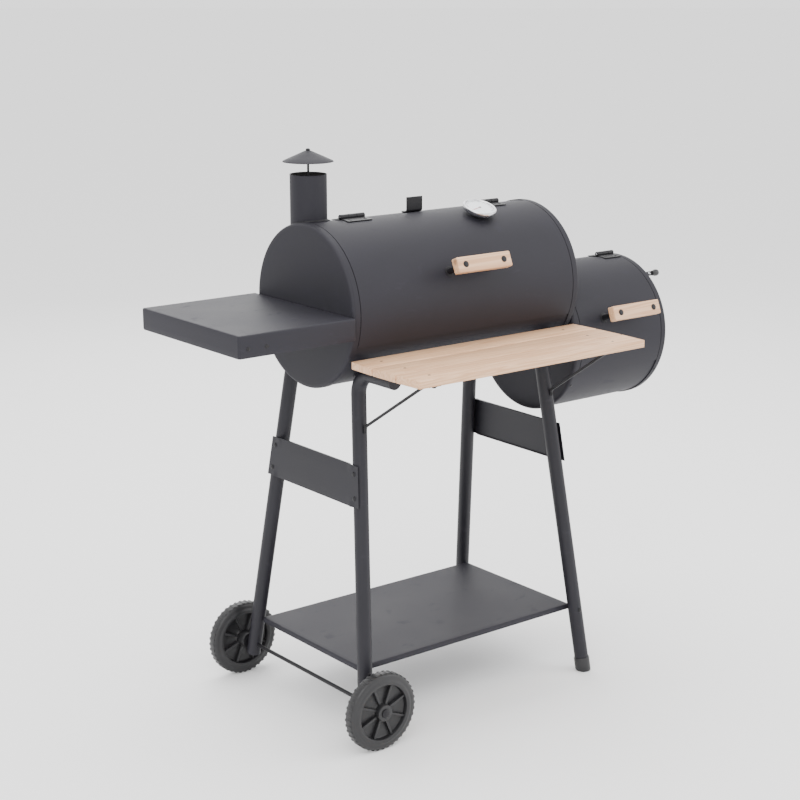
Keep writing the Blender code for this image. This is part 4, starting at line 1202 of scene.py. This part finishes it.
@dataclass
class LidStop:
    """A strip bent up behind the hinges, which the open lid leans on."""

    drum: Drum
    x: float = -0.0155
    width: float = 0.040
    thickness: float = 0.003
    rise: float = 0.030

    def build(self, finishes: Finishes) -> None:
        """Builds and dresses it: a section carried up the path of foot, bend and blade."""
        low, high = (np.array(corner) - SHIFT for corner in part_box("lid_stop"))
        blade = low[1] + self.thickness / 2
        skin = self.drum.height + self.drum.inner + 0.0005 + self.thickness / 2
        tail = high[1]
        drop = (tail**2) / (2 * self.drum.radius)
        bend = (self.x, blade, skin + 0.0002)
        path = eased([(self.x, tail, skin - drop), bend, (self.x, blade, high[2] - 0.0001)], 0.005, 8)
        section = rounded_rectangle(self.width / 2, self.thickness / 2, 0.0006, 3)
        strip = swept(path, section, ALONG)
        rivet = dome((self.x, tail - 0.010, skin + 0.0009), self.drum.out(95.0), 0.004, 0.0016)
        publish("lid_stop_strip", strip + rivet, "smoker", finishes.fitting, ("lid_stop",))


@dataclass
class AirDamper:
    """A disc that turns over the vents in the firebox's end, with an arm, a knob and its bolt."""

    drum: Drum
    face: float
    radius: float = 0.045
    sheet: float = 0.0015
    reach: float = 0.1495
    angle: float = 55.0
    out_by: float = 0.020

    @property
    def vents(self) -> Points:
        """The (y, z) middles of the vents from the axis."""
        turn = np.radians(self.angle + 60.0 + 120.0 * np.arange(3))
        return 0.028 * np.stack([-np.cos(turn), np.sin(turn)], axis=-1)

    def build(self, finishes: Finishes) -> None:
        """Builds and dresses it."""
        height = self.drum.height
        turn = np.linspace(0, 2 * np.pi, 110, endpoint=False)
        rows = np.linspace(0.0034, self.radius, 24)[:, None]
        x = np.full((24, 110), self.face + self.sheet / 2)
        disc = np.stack([x, rows * np.cos(turn), height + rows * np.sin(turn)], axis=-1)
        disc, keep = punched(disc, self.vents + (0, height), 0.012, 0.0010)
        publish(
            "damper_disc",
            grid(disc, ring=True, keep=keep),
            "air_damper",
            finishes.fitting,
            ("air_damper",),
            self.sheet,
        )
        out = self.drum.out(self.angle)
        start = np.array((self.face + self.sheet / 2, 0, height))
        tip = start + out * (self.reach - self.sheet / 2)
        path = eased([start + out * 0.040, tip, tip + ALONG * self.out_by], 0.004, 7)
        section = rounded_rectangle(0.006, self.sheet / 2, 0.0004, 3)
        side = np.cross(out, ALONG)
        arm = swept(path, section, side)
        publish("damper_arm", arm, "air_damper", finishes.fitting)
        end = tip + ALONG * (self.out_by + 0.0006)
        knob = turned(
            [(0, 0), (0.0052, 0), (0.0056, 0.0006), (0.0060, 0.0040), (0.0074, 0.0082), (0.0075, 0.0132)]
            + [(0.0066, 0.0162), (0.0045, 0.0176), (0, 0.0180)],
            40,
        )
        shape = knob.facing(end, ALONG)
        publish("damper_grip", shape, "air_damper", finishes.knob, ("damper_knob",))
        screw = dome(tip - ALONG * 0.0 + out * 0.0005 + ALONG * 0.013, out, 0.0036, 0.0018)
        publish("damper_screw", screw, "air_damper", finishes.zinc)
        bolt = hex_bolt((self.face + self.sheet + 0.0002, 0, height), ALONG, 0.0068, 0.0034)
        shank = turned([(0, 0), (0.0029, 0), (0.0029, -0.0105), (0.0024, -0.0112), (0, -0.0112)], 20)
        publish(
            "damper_bolt",
            bolt + shank.facing((self.face + self.sheet + 0.0006, 0, height), ALONG),
            "smoker",
            finishes.zinc,
            ("damper_pivot_bolt",),
        )


# ---- leg frame ------------------------------------------------------------------------------------


@dataclass
class LegFrame:
    """Four splayed tubes with plates, a tray, foot caps, an axle and two wheels."""

    drum: Drum
    tube: float = 0.015
    foot_left: float = -0.3045
    foot_right: float = 0.2924
    foot_y: float = 0.2092
    lean_x: float = 0.0837
    lean_y: float = 0.138
    plate_middle: float = 0.509
    plate_half: float = 0.041
    plate_past_leg: float = 0.013
    plate_sheet: float = 0.0015
    tray_top: float = 0.146
    tray_lip: float = 0.011
    arm_front: float = -0.225
    arm_height: float = 0.7307
    wheel: float = 0.080

    def leg(self, side: Side, depth: Depth, height: float) -> Points:
        """The leg's centre line at a height."""
        foot = self.foot_left if side is Side.LEFT else self.foot_right
        y = depth.value * (self.foot_y - self.lean_y * height)
        return np.array((foot - side.value * self.lean_x * height, y, height))

    def corners(self) -> list[tuple[Side, Depth, str]]:
        """Each leg's sides and the end of its name."""
        return [
            (Side.LEFT, Depth.FRONT, "front_left"),
            (Side.RIGHT, Depth.FRONT, "front_right"),
            (Side.LEFT, Depth.REAR, "rear_left"),
            (Side.RIGHT, Depth.REAR, "rear_right"),
        ]

    def legs(self, finishes: Finishes) -> None:
        """The tubes. A rear one ends on the drum: each line along it is cut where (y, z) meets the circle."""
        for side, depth, name in self.corners():
            bottom = self.leg(side, depth, 0.058 if side is Side.LEFT else 0.0056)
            section = circle(self.tube, 32)
            if name.startswith("front"):
                corner = self.leg(side, depth, self.arm_height)
                tip = np.array((corner[0], self.arm_front, self.arm_height))
                path = eased([bottom, corner, tip], 0.038, 22)
                across = unit(np.cross(unit(corner - bottom), unit(tip - corner)))
                tube = swept(path, section, across)
                tube = tube + self.lug(corner)
            else:
                top = self.leg(side, depth, 0.70)
                ahead = unit(top - bottom)
                across = unit(np.cross(ahead, BACK))
                over = np.cross(ahead, across)
                ring = bottom + section[:, :1] * across + section[:, 1:] * over
                limit = self.drum.inner + 0.0004
                y, z = ring[:, 1], ring[:, 2] - self.drum.height
                a = ahead[1] ** 2 + ahead[2] ** 2
                b = y * ahead[1] + z * ahead[2]
                c = y**2 + z**2 - limit**2
                reach = (-b - np.sqrt(b**2 - a * c)) / a
                share = np.linspace(0, 1, 24)[:, None, None]
                rows = ring + ahead * (reach[:, None] * share)
                tube = grid(rows, ring=True, caps=(True, True))
            publish(f"leg_tube_{name}", tube, "smoker", finishes.frame, (f"leg_{name}",))

    def lug(self, corner: Points) -> Shape:
        """A plate between a front leg's bend and the drum: its far edge follows the drum's circle."""
        y = np.linspace(corner[1] - 0.022, corner[1] + 0.014, 14)
        skin = self.drum.height - np.sqrt((self.drum.inner + 0.0004) ** 2 - y**2)
        base = np.full(14, self.arm_height - 0.010)
        faces = []
        for x in (corner[0] - 0.002, corner[0] + 0.002):
            low = np.stack([0 * y + x, y, np.minimum(base, skin - 0.001)], axis=-1)
            high = np.stack([0 * y + x, y, skin], axis=-1)
            faces.append(np.stack([low, high]))
        loop = np.stack([faces[0][0], faces[0][1], faces[1][1], faces[1][0]], axis=1)
        return grid(loop, ring=True, caps=(True, True))

    def foot_caps(self, finishes: Finishes) -> None:
        """Cups on the right legs: rings along the leg, the lowest slid along it onto the ground."""
        for depth, name in ((Depth.FRONT, "front"), (Depth.REAR, "rear")):
            low, high = self.leg(Side.RIGHT, depth, 0.0), self.leg(Side.RIGHT, depth, 0.030)
            ahead = unit(high - low)
            across = unit(np.cross(ahead, BACK))
            over = np.cross(ahead, across)
            outside = self.tube + 0.0019
            insets = np.array((0.0016, 0.0004, 0.0, 0.0, 0.0007))
            radii = np.concatenate([(0.010,), outside - insets, (self.tube + 0.0002,)])
            heights = np.array((0.0, 0.0, 0.0014, 0.0032, 0.0285, 0.0298, 0.0300)) / ahead[2]
            turn = np.linspace(0, 2 * np.pi, 40, endpoint=False)
            round_ = np.cos(turn)[:, None] * across + np.sin(turn)[:, None] * over
            rings = low + heights[:, None, None] * ahead + radii[:, None, None] * round_
            short = (heights[:, None] * ahead[2] - rings[..., 2]) / ahead[2]
            slide = np.where(heights < 0.02, 1.0, 0.0)[:, None] * short
            rings = rings + slide[..., None] * ahead
            cup = grid(rings, ring=True, caps=(True, True))
            publish(f"foot_cup_{name}", cup, "smoker", finishes.plastic, (f"foot_cap_{name}",))

    def panels(self, finishes: Finishes) -> None:
        """A plate across each pair of legs, on their outer sides, with its long edges folded in a little."""
        lean = math.atan(self.lean_x)
        for side, name in ((Side.LEFT, "left"), (Side.RIGHT, "right")):
            middle = self.leg(side, Depth.REAR, self.plate_middle)
            out = np.array((side.value * math.cos(lean), 0, math.sin(lean)))
            rise = np.array((-side.value * math.sin(lean), 0, math.cos(lean)))
            off = self.tube + 0.0003 + self.plate_sheet / 2
            at = np.array((middle[0], 0, self.plate_middle)) + out * off
            half = self.plate_half / math.cos(lean)
            v = np.array((-half, -half, *np.linspace(-half, half, 8)[1:-1], half, half))
            lift = np.array((-0.004, -0.0006, *([0.0] * 6), -0.0006, -0.004))
            width = self.foot_y - self.lean_y * (self.plate_middle + v * math.cos(lean)) + self.plate_past_leg
            share = np.linspace(-1, 1, 40)[None, :]
            y = width[:, None] * share
            fold = np.where(np.abs(y) < width[:, None] - 0.030, 1.0, 0.0)
            edge = lift[:, None] * fold
            points = at + y[..., None] * BACK + v[:, None, None] * rise + edge[..., None] * out
            bolts = []
            for sign in (-1, 1):
                for v_at in (-0.024, 0.024):
                    reach = sign * (self.foot_y - self.lean_y * (self.plate_middle + v_at))
                    bolts.append(dome(at + out * 0.0007 + rise * v_at + BACK * reach, out, 0.0052, 0.0024))
            order = points if side is Side.RIGHT else points[:, ::-1]
            publish(
                f"leg_plate_{name}",
                grid(order[:, ::-1]),
                "smoker",
                finishes.frame,
                (f"leg_panel_{name}",),
                self.plate_sheet,
            )
            publish(f"leg_plate_bolts_{name}", together(bolts), "smoker", finishes.fitting)

    def tray(self, finishes: Finishes) -> None:
        """The low tray between the legs and the bolts through its lips."""
        top = self.tray_top
        left, right = self.leg(Side.LEFT, Depth.REAR, top)[0], self.leg(Side.RIGHT, Depth.REAR, top)[0]
        half_y = self.foot_y - self.lean_y * top - self.tube / math.cos(math.atan(self.lean_y)) - 0.0003
        middle, half_x = (left + right) / 2, (right - left) / 2
        pan("low_tray", middle, half_x, half_y, top, self.tray_lip, 0.004, finishes.tray, "bottom_shelf")
        bolts = []
        for side, depth, _ in self.corners():
            at = self.leg(side, depth, top - 0.006)
            out = np.array((0, depth.value, 0.0))
            bolts.append(dome(at + out * (self.tube + 0.0001), out, 0.0050, 0.0024))
        publish("low_tray_bolts", together(bolts), "smoker", finishes.fitting)

    def wheels(self, finishes: Finishes) -> None:
        """The axle with its domed ends, and the two moulded wheels."""
        centre = self.leg(Side.LEFT, Depth.REAR, self.wheel)
        end = 0.2640 + 0.0003
        rod = turned([(0, end), (0.004, end), (0.004, -end), (0, -end)], 24)
        cap = [(0, 0), (0.0090, 0), (0.0095, 0.0006), (0.0092, 0.0022)]
        cap += [(0.0070, 0.0038), (0.0040, 0.0047), (0, 0.0050)]
        caps = [
            turned(cap, 32).facing((centre[0], sign * end, centre[2]), (0, sign, 0)) for sign in (-1, 1)
        ]
        washers = [
            turned([(0.0042, 0), (0.0100, 0), (0.0100, 0.0010), (0.0042, 0.0010), (0.0042, 0)], 28).facing(
                (centre[0], sign * 0.2164, centre[2]), (0, sign, 0)
            )
            for sign in (-1, 1)
        ]
        shape = together([rod.facing((centre[0], 0, centre[2]), BACK), *caps, *washers])
        publish("axle_rod", shape, "smoker", finishes.fitting, ("wheel_axle",))
        for sign, name in ((-1, "front"), (1, "rear")):
            hub = (centre[0], 0.0, centre[2])
            publish(
                f"wheel_moulding_{name}",
                self.wheel_shape().facing(hub, (0, sign, 0)),
                f"wheel_{name}",
                finishes.plastic,
                (f"wheel_{name}",),
                sharp=40.0,
            )

    def wheel_shape(self) -> Shape:
        """A wheel about Z: a turned tyre, rim, web and hub, and ribs on the web and across the tread."""
        inner, outer = 0.2325, 0.2605
        middle = (inner + outer) / 2
        web = 0.0025
        r = self.wheel - 0.0006
        hub_out = [(0.0045, 0.2640), (0.0140, 0.2640), (0.0165, 0.2632), (0.0172, 0.2610)]
        hub_in = [(0.0172, 0.2193), (0.0165, 0.2183), (0.0140, 0.2178), (0.0045, 0.2178), (0.0045, 0.2640)]
        dish = [(0.0180, web + 0.002), (0.0205, web), (0.0530, web), (0.0552, web + 0.0015)]
        face = [(0.0560, 0.0025), (0.0570, 0.0008), (0.0600, 0), (0.0640, 0), (0.0652, 0.0010)]
        face += [(0.0700, 0.0016), (0.0745, 0.0022), (r - 0.0018, 0.0045), (r - 0.0004, 0.0072)]
        tyre = turned(
            hub_out
            + [(radius, middle + off) for radius, off in dish]
            + [(radius, outer - off) for radius, off in face]
            + [(r, middle)]
            + [(radius, inner + off) for radius, off in face[::-1]]
            + [(radius, middle - off) for radius, off in dish[::-1]]
            + hub_in,
            96,
        )
        spokes = []
        for step in range(8):
            turn = math.radians(step * 45 + 22.5)
            ahead = np.array((math.cos(turn), math.sin(turn), 0))
            side = np.array((-math.sin(turn), math.cos(turn), 0))
            rib = slab(0.0395, 0.0050, 0.0200, 0.0012, 0.0010, 3)
            spokes.append(rib.placed(ahead * 0.0365 + UP * middle, ahead, side, UP))
        treads = []
        for step in range(40):
            turn = math.radians(step * 9)
            ahead = np.array((math.cos(turn), math.sin(turn), 0))
            side = np.array((-math.sin(turn), math.cos(turn), 0))
            rib = slab(0.0016, 0.0052, 0.0180, 0.0003, 0.0003, 2)
            treads.append(rib.placed(ahead * (self.wheel - 0.0009) + UP * middle, ahead, side, UP))
        return together([tyre, *spokes, *treads])


def pan(
    name: str,
    x: float,
    half_x: float,
    half_y: float,
    top: float,
    lip: float,
    corner: float,
    finish: bpy.types.Material,
    node: str,
) -> None:
    """A tray with a lip turned down all round and a narrow hem under it.

    Level by level the outline grows by bend * sin t while it falls by bend * (1 - cos t), then drops to the
    hem, which turns back in.

    Args:
        name: the piece.
        x: X of its middle.
        half_x: half its length.
        half_y: half its width.
        top: height of its top face.
        lip: how far the lip reaches down.
        corner: radius of its upright corners.
        finish: its material.
        node: the node it stands for.
    """
    half = SHEET / 2
    bend = 0.0026
    a, b = half_x - half, half_y - half
    turn = np.linspace(0, np.pi / 2, 5)
    levels = []
    for t in turn.tolist():
        inset = bend * math.sin(t) - bend
        levels.append((a + inset, b + inset, max(corner + inset, 0.0006), -bend * (1 - math.cos(t))))
    flat = [(levels[0][0] * s, levels[0][1] * s, 0.0005 + levels[0][2] * s * 0.8, 0.0) for s in (0.5, 0.97)]
    drop = lip - SHEET - bend
    straight = [(a, b, corner, -bend - drop * s) for s in (0.33, 0.66, 0.93)]
    hem = [(a - 0.0008, b - 0.0008, corner, -bend - drop * 0.985)]
    hem.append((a - 0.0060, b - 0.0060, corner, -bend - drop))
    shape = layered([*hem[::-1], *straight[::-1], *levels[::-1], *flat[::-1]], 7, False)
    publish(name, shape.moved((x, 0, top - half)), "smoker", finish, (node,), SHEET)


# ---- shelves --------------------------------------------------------------------------------------


@dataclass
class FrontShelf:
    """Three pine boards on two steel rails, with wire braces and the screws that hold them."""

    legs: LegFrame
    left: float = -0.294
    right: float = 0.294
    front: float = -0.3614
    back: float = -0.1475
    top: float = 0.7643
    thick: float = 0.015
    gap: float = 0.003

    def build(self, finishes: Finishes) -> None:
        """Builds and dresses it."""
        depth = (self.back - self.front - 2 * self.gap) / 3
        middle = (self.left + self.right) / 2
        rails = [self.legs.leg(side, Depth.FRONT, self.legs.arm_height)[0] for side in Side]
        screws = []
        for index in range(3):
            y = self.front + depth / 2 + index * (depth + self.gap)
            board = slab(self.right - self.left, depth, self.thick, 0.0016, 0.0014, 7)
            points = board.points.copy()
            outward = {0: -1.0, 1: 0.0, 2: 1.0}[index]
            if outward:
                points = self.rounded_ends(points, outward, depth)
            publish(
                f"shelf_board_{index + 1}",
                Shape(points, board.faces).moved((middle, y, self.top - self.thick / 2)),
                "smoker",
                finishes.pine(index + 2),
                (f"front_shelf_slat_{index + 1}",),
            )
            screws += [dome((x, y, self.top - 0.0003), UP, 0.0034, 0.0007) for x in rails]
        publish("shelf_screws", together(screws), "smoker", finishes.fitting)
        for x, side, name in zip(rails, (Side.LEFT, Side.RIGHT), ("left", "right")):
            self.rail(x, name, finishes)
            self.brace(x, side, name, finishes)

    def rounded_ends(self, points: Points, outward: float, depth: float) -> Points:
        """Rounds a board's two outer corners: past a corner's centre a point is drawn onto its circle.

        Args:
            points: the board's points about its own middle.
            outward: -1 or 1, the side along Y that is rounded.
            depth: the board's width.

        Returns:
            The new points.
        """
        radius = 0.012
        half_x, half_y = (self.right - self.left) / 2, depth / 2
        centre_x, centre_y = half_x - radius, half_y - radius
        over_x = np.abs(points[:, 0]) - centre_x
        over_y = points[:, 1] * outward - centre_y
        both = (over_x > 0) & (over_y > 0)
        most = np.maximum(over_x, over_y)
        size = np.maximum(np.hypot(over_x, over_y), 1e-9)
        x = np.sign(points[:, 0]) * (centre_x + over_x / size * most)
        y = outward * (centre_y + over_y / size * most)
        result = points.copy()
        result[:, 0] = np.where(both, x, points[:, 0])
        result[:, 1] = np.where(both, y, points[:, 1])
        return result

    def rail(self, x: float, name: str, finishes: Finishes) -> None:
        """A flat strip under the boards."""
        low, high = (np.array(corner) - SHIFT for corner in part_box(f"front_shelf_rail_{name}"))
        strip = slab(high[0] - low[0], high[1] - low[1], high[2] - low[2], 0.002, 0.0004, 3)
        nuts = [
            hex_bolt((x + 0.0, y, low[2]), -UP, 0.0042, 0.0026) for y in (self.front + 0.0200,)
        ]
        shape = together([strip.moved((low + high) / 2), *nuts])
        nodes = (f"front_shelf_rail_{name}",)
        publish(f"shelf_rail_{name}", shape, "smoker", finishes.frame, nodes)

    def brace(self, x: float, side: Side, name: str, finishes: Finishes) -> None:
        """A wire from the leg up to the rail's front, its ends bent to lie flat."""
        touch = (self.legs.tube + 0.0003 + 0.003) / math.cos(math.atan(self.legs.lean_y))
        low = self.legs.leg(side, Depth.FRONT, 0.627) - BACK * touch
        below = self.legs.leg(side, Depth.FRONT, 0.615) - BACK * touch
        top = self.top - self.thick - 0.0003 - 0.003 - 0.0003 - 0.003
        near = np.array((x, self.front + 0.044, top))
        end = np.array((x, self.front + 0.032, top))
        path = eased([below, low, near, end], 0.006, 9)
        ahead = unit(np.gradient(path, axis=0))
        wire = swept(path, circle(0.003, 18), unit(np.cross(ahead, np.cross(ahead, ALONG))) * -1)
        bolt = dome(low - BACK * 0.0026, -BACK, 0.0040, 0.0018)
        nodes = (f"front_shelf_brace_{name}",)
        publish(f"shelf_brace_{name}", wire + bolt, "smoker", finishes.fitting, nodes)


def side_shelf(drum: Drum, finishes: Finishes) -> None:
    """The tray on the barrel's left end, with the bolts that hold it."""
    left, right = drum.left - 0.0003 - 0.2633, drum.left - 0.0003
    middle, half_x = (left + right) / 2, (right - left) / 2
    # finishes.tray is lighter than the drum paint: painted light on the shelf's top.
    pan("side_tray", middle, half_x, 0.1719, 0.8513, 0.0432, 0.0045, finishes.tray, "side_shelf")
    bolts = [dome((x, -0.1719, 0.826), (0, -1, 0), 0.0042, 0.0018) for x in (left + 0.020, left + 0.060)]
    publish("side_tray_bolts", together(bolts), "smoker", finishes.fitting)


# ---- floor, light and camera ----------------------------------------------------------------------


@dataclass
class Studio:
    """A pale floor, soft lights and the camera."""

    eye: tuple[float, float, float] = (-2.1973, -2.7256, 1.4960)
    bearing: float = 38.17
    pitch: float = 15.27
    lens: float = 77.55
    rise: float = 0.0425

    def area(self, name: str, at: Sequence[float], aim: Sequence[float], size: float, power: float) -> None:
        """A square soft light that looks at a place."""
        lamp = bpy.data.lights.new(name, "AREA")
        lamp.size = size
        lamp.energy = power
        holder = bpy.data.objects.new(name, lamp)
        bpy.context.scene.collection.objects.link(holder)
        holder.location = at
        holder.rotation_euler = (Vector(aim) - Vector(at)).to_track_quat("-Z", "Y").to_euler()

    def build(self) -> None:
        """Lays the floor, hangs the lights and sets the camera."""
        recipe = Recipe("studio_floor")
        recipe.feed("Base Color", (0.97, 0.97, 0.97, 1.0))
        recipe.feed("Roughness", 0.9)
        edge = 90.0
        corners = [(-edge, -edge, 0), (edge, -edge, 0), (-edge, edge, 0), (edge, edge, 0)]
        mesh = bpy.data.meshes.new("floor")
        mesh.from_pydata(corners, [], [(0, 1, 3, 2)])
        mesh.materials.append(recipe.material)
        floor = bpy.data.objects.new("floor", mesh)
        floor.location = (0, 0, -0.0005)
        bpy.context.scene.collection.objects.link(floor)
        world = bpy.data.worlds.new("studio_air")
        world.use_nodes = True
        world.node_tree.nodes["Background"].inputs[0].default_value = (1.0, 1.0, 1.0, 1.0)
        world.node_tree.nodes["Background"].inputs[1].default_value = 1.7
        bpy.context.scene.world = world
        self.area("key", (-2.4, -2.2, 3.0), (0, 0, 0.6), 2.4, 80.0)
        self.area("fill", (2.8, -2.4, 2.2), (0, 0, 0.6), 2.6, 45.0)
        self.area("top", (0.2, 0.6, 3.4), (0, 0, 0.7), 2.8, 70.0)
        self.area("rear", (1.6, 3.0, 2.4), (0, 0, 0.7), 2.2, 40.0)
        lens = bpy.data.cameras.new("camera")
        lens.lens = self.lens
        lens.sensor_width = 36.0
        lens.shift_y = self.rise
        lens.clip_end = 60.0
        camera = bpy.data.objects.new("camera", lens)
        bpy.context.scene.collection.objects.link(camera)
        camera.location = Vector(self.eye) + Vector(SHIFT.tolist())
        camera.rotation_euler = Euler((math.radians(90 - self.pitch), 0, math.radians(-self.bearing)))
        bpy.context.scene.camera = camera


# ---- the whole ------------------------------------------------------------------------------------


def main() -> None:
    """Builds every sub-assembly, then the floor, the lights and the camera."""
    logging.basicConfig(level=logging.INFO, format="%(name)s: %(message)s")
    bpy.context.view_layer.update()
    finishes = Finishes()
    barrel = Drum("barrel", "barrel_lid", -0.294, 0.294, 0.8485, 0.1625, (-0.176, 0.176), 0.060, 0)
    firebox = Drum(
        "firebox", "firebox_lid", 0.2946, 0.5701, 0.7085, 0.158, (0.3381, 0.5266), 0.050, 1, handle_angle=21.0
    )
    chimney = Chimney(barrel)
    damper = AirDamper(firebox, 0.5704)
    bite = (chimney.x, chimney.y, chimney.radius + chimney.flange + 0.001)
    window = evenly(rounded_rectangle(0.075, 0.040, 0.012, 12), 384)
    level = 0.77625
    for drum in (barrel, firebox):
        drum.lid(finishes)
        drum.shell(finishes, (chimney.x, chimney.y, chimney.radius) if drum is barrel else None)
        drum.handle(finishes)
        for label, x in zip(("left", "right"), drum.hinges):
            drum.hinge(label, x, finishes)
    barrel.end_cap(Side.LEFT, finishes, bite=bite)
    barrel.end_cap(Side.RIGHT, finishes, window=window + (0, level - barrel.height))
    firebox.end_cap(Side.LEFT, finishes, window=window + (0, level - firebox.height))
    firebox.end_cap(Side.RIGHT, finishes, vents=damper.vents)
    barrel.rivets(finishes, None)
    firebox.rivets(finishes, None)
    Thermometer(barrel).build(finishes)
    chimney.build(finishes)
    LidStop(barrel).build(finishes)
    damper.build(finishes)
    cooking_grate("cooking_grate_left", "cooking_grate_left", finishes.cast)
    cooking_grate("cooking_grate_right", "cooking_grate_right", finishes.cast)
    cooking_grate("charcoal_grate", "smoker", finishes.ashy)
    cooking_grate("firebox_grate", "smoker", finishes.ashy)
    legs = LegFrame(barrel)
    legs.legs(finishes)
    legs.foot_caps(finishes)
    legs.panels(finishes)
    legs.tray(finishes)
    legs.wheels(finishes)
    FrontShelf(legs).build(finishes)
    side_shelf(barrel, finishes)
    Studio().build()
    bpy.context.view_layer.update()


if __name__ == "__main__":
    main()
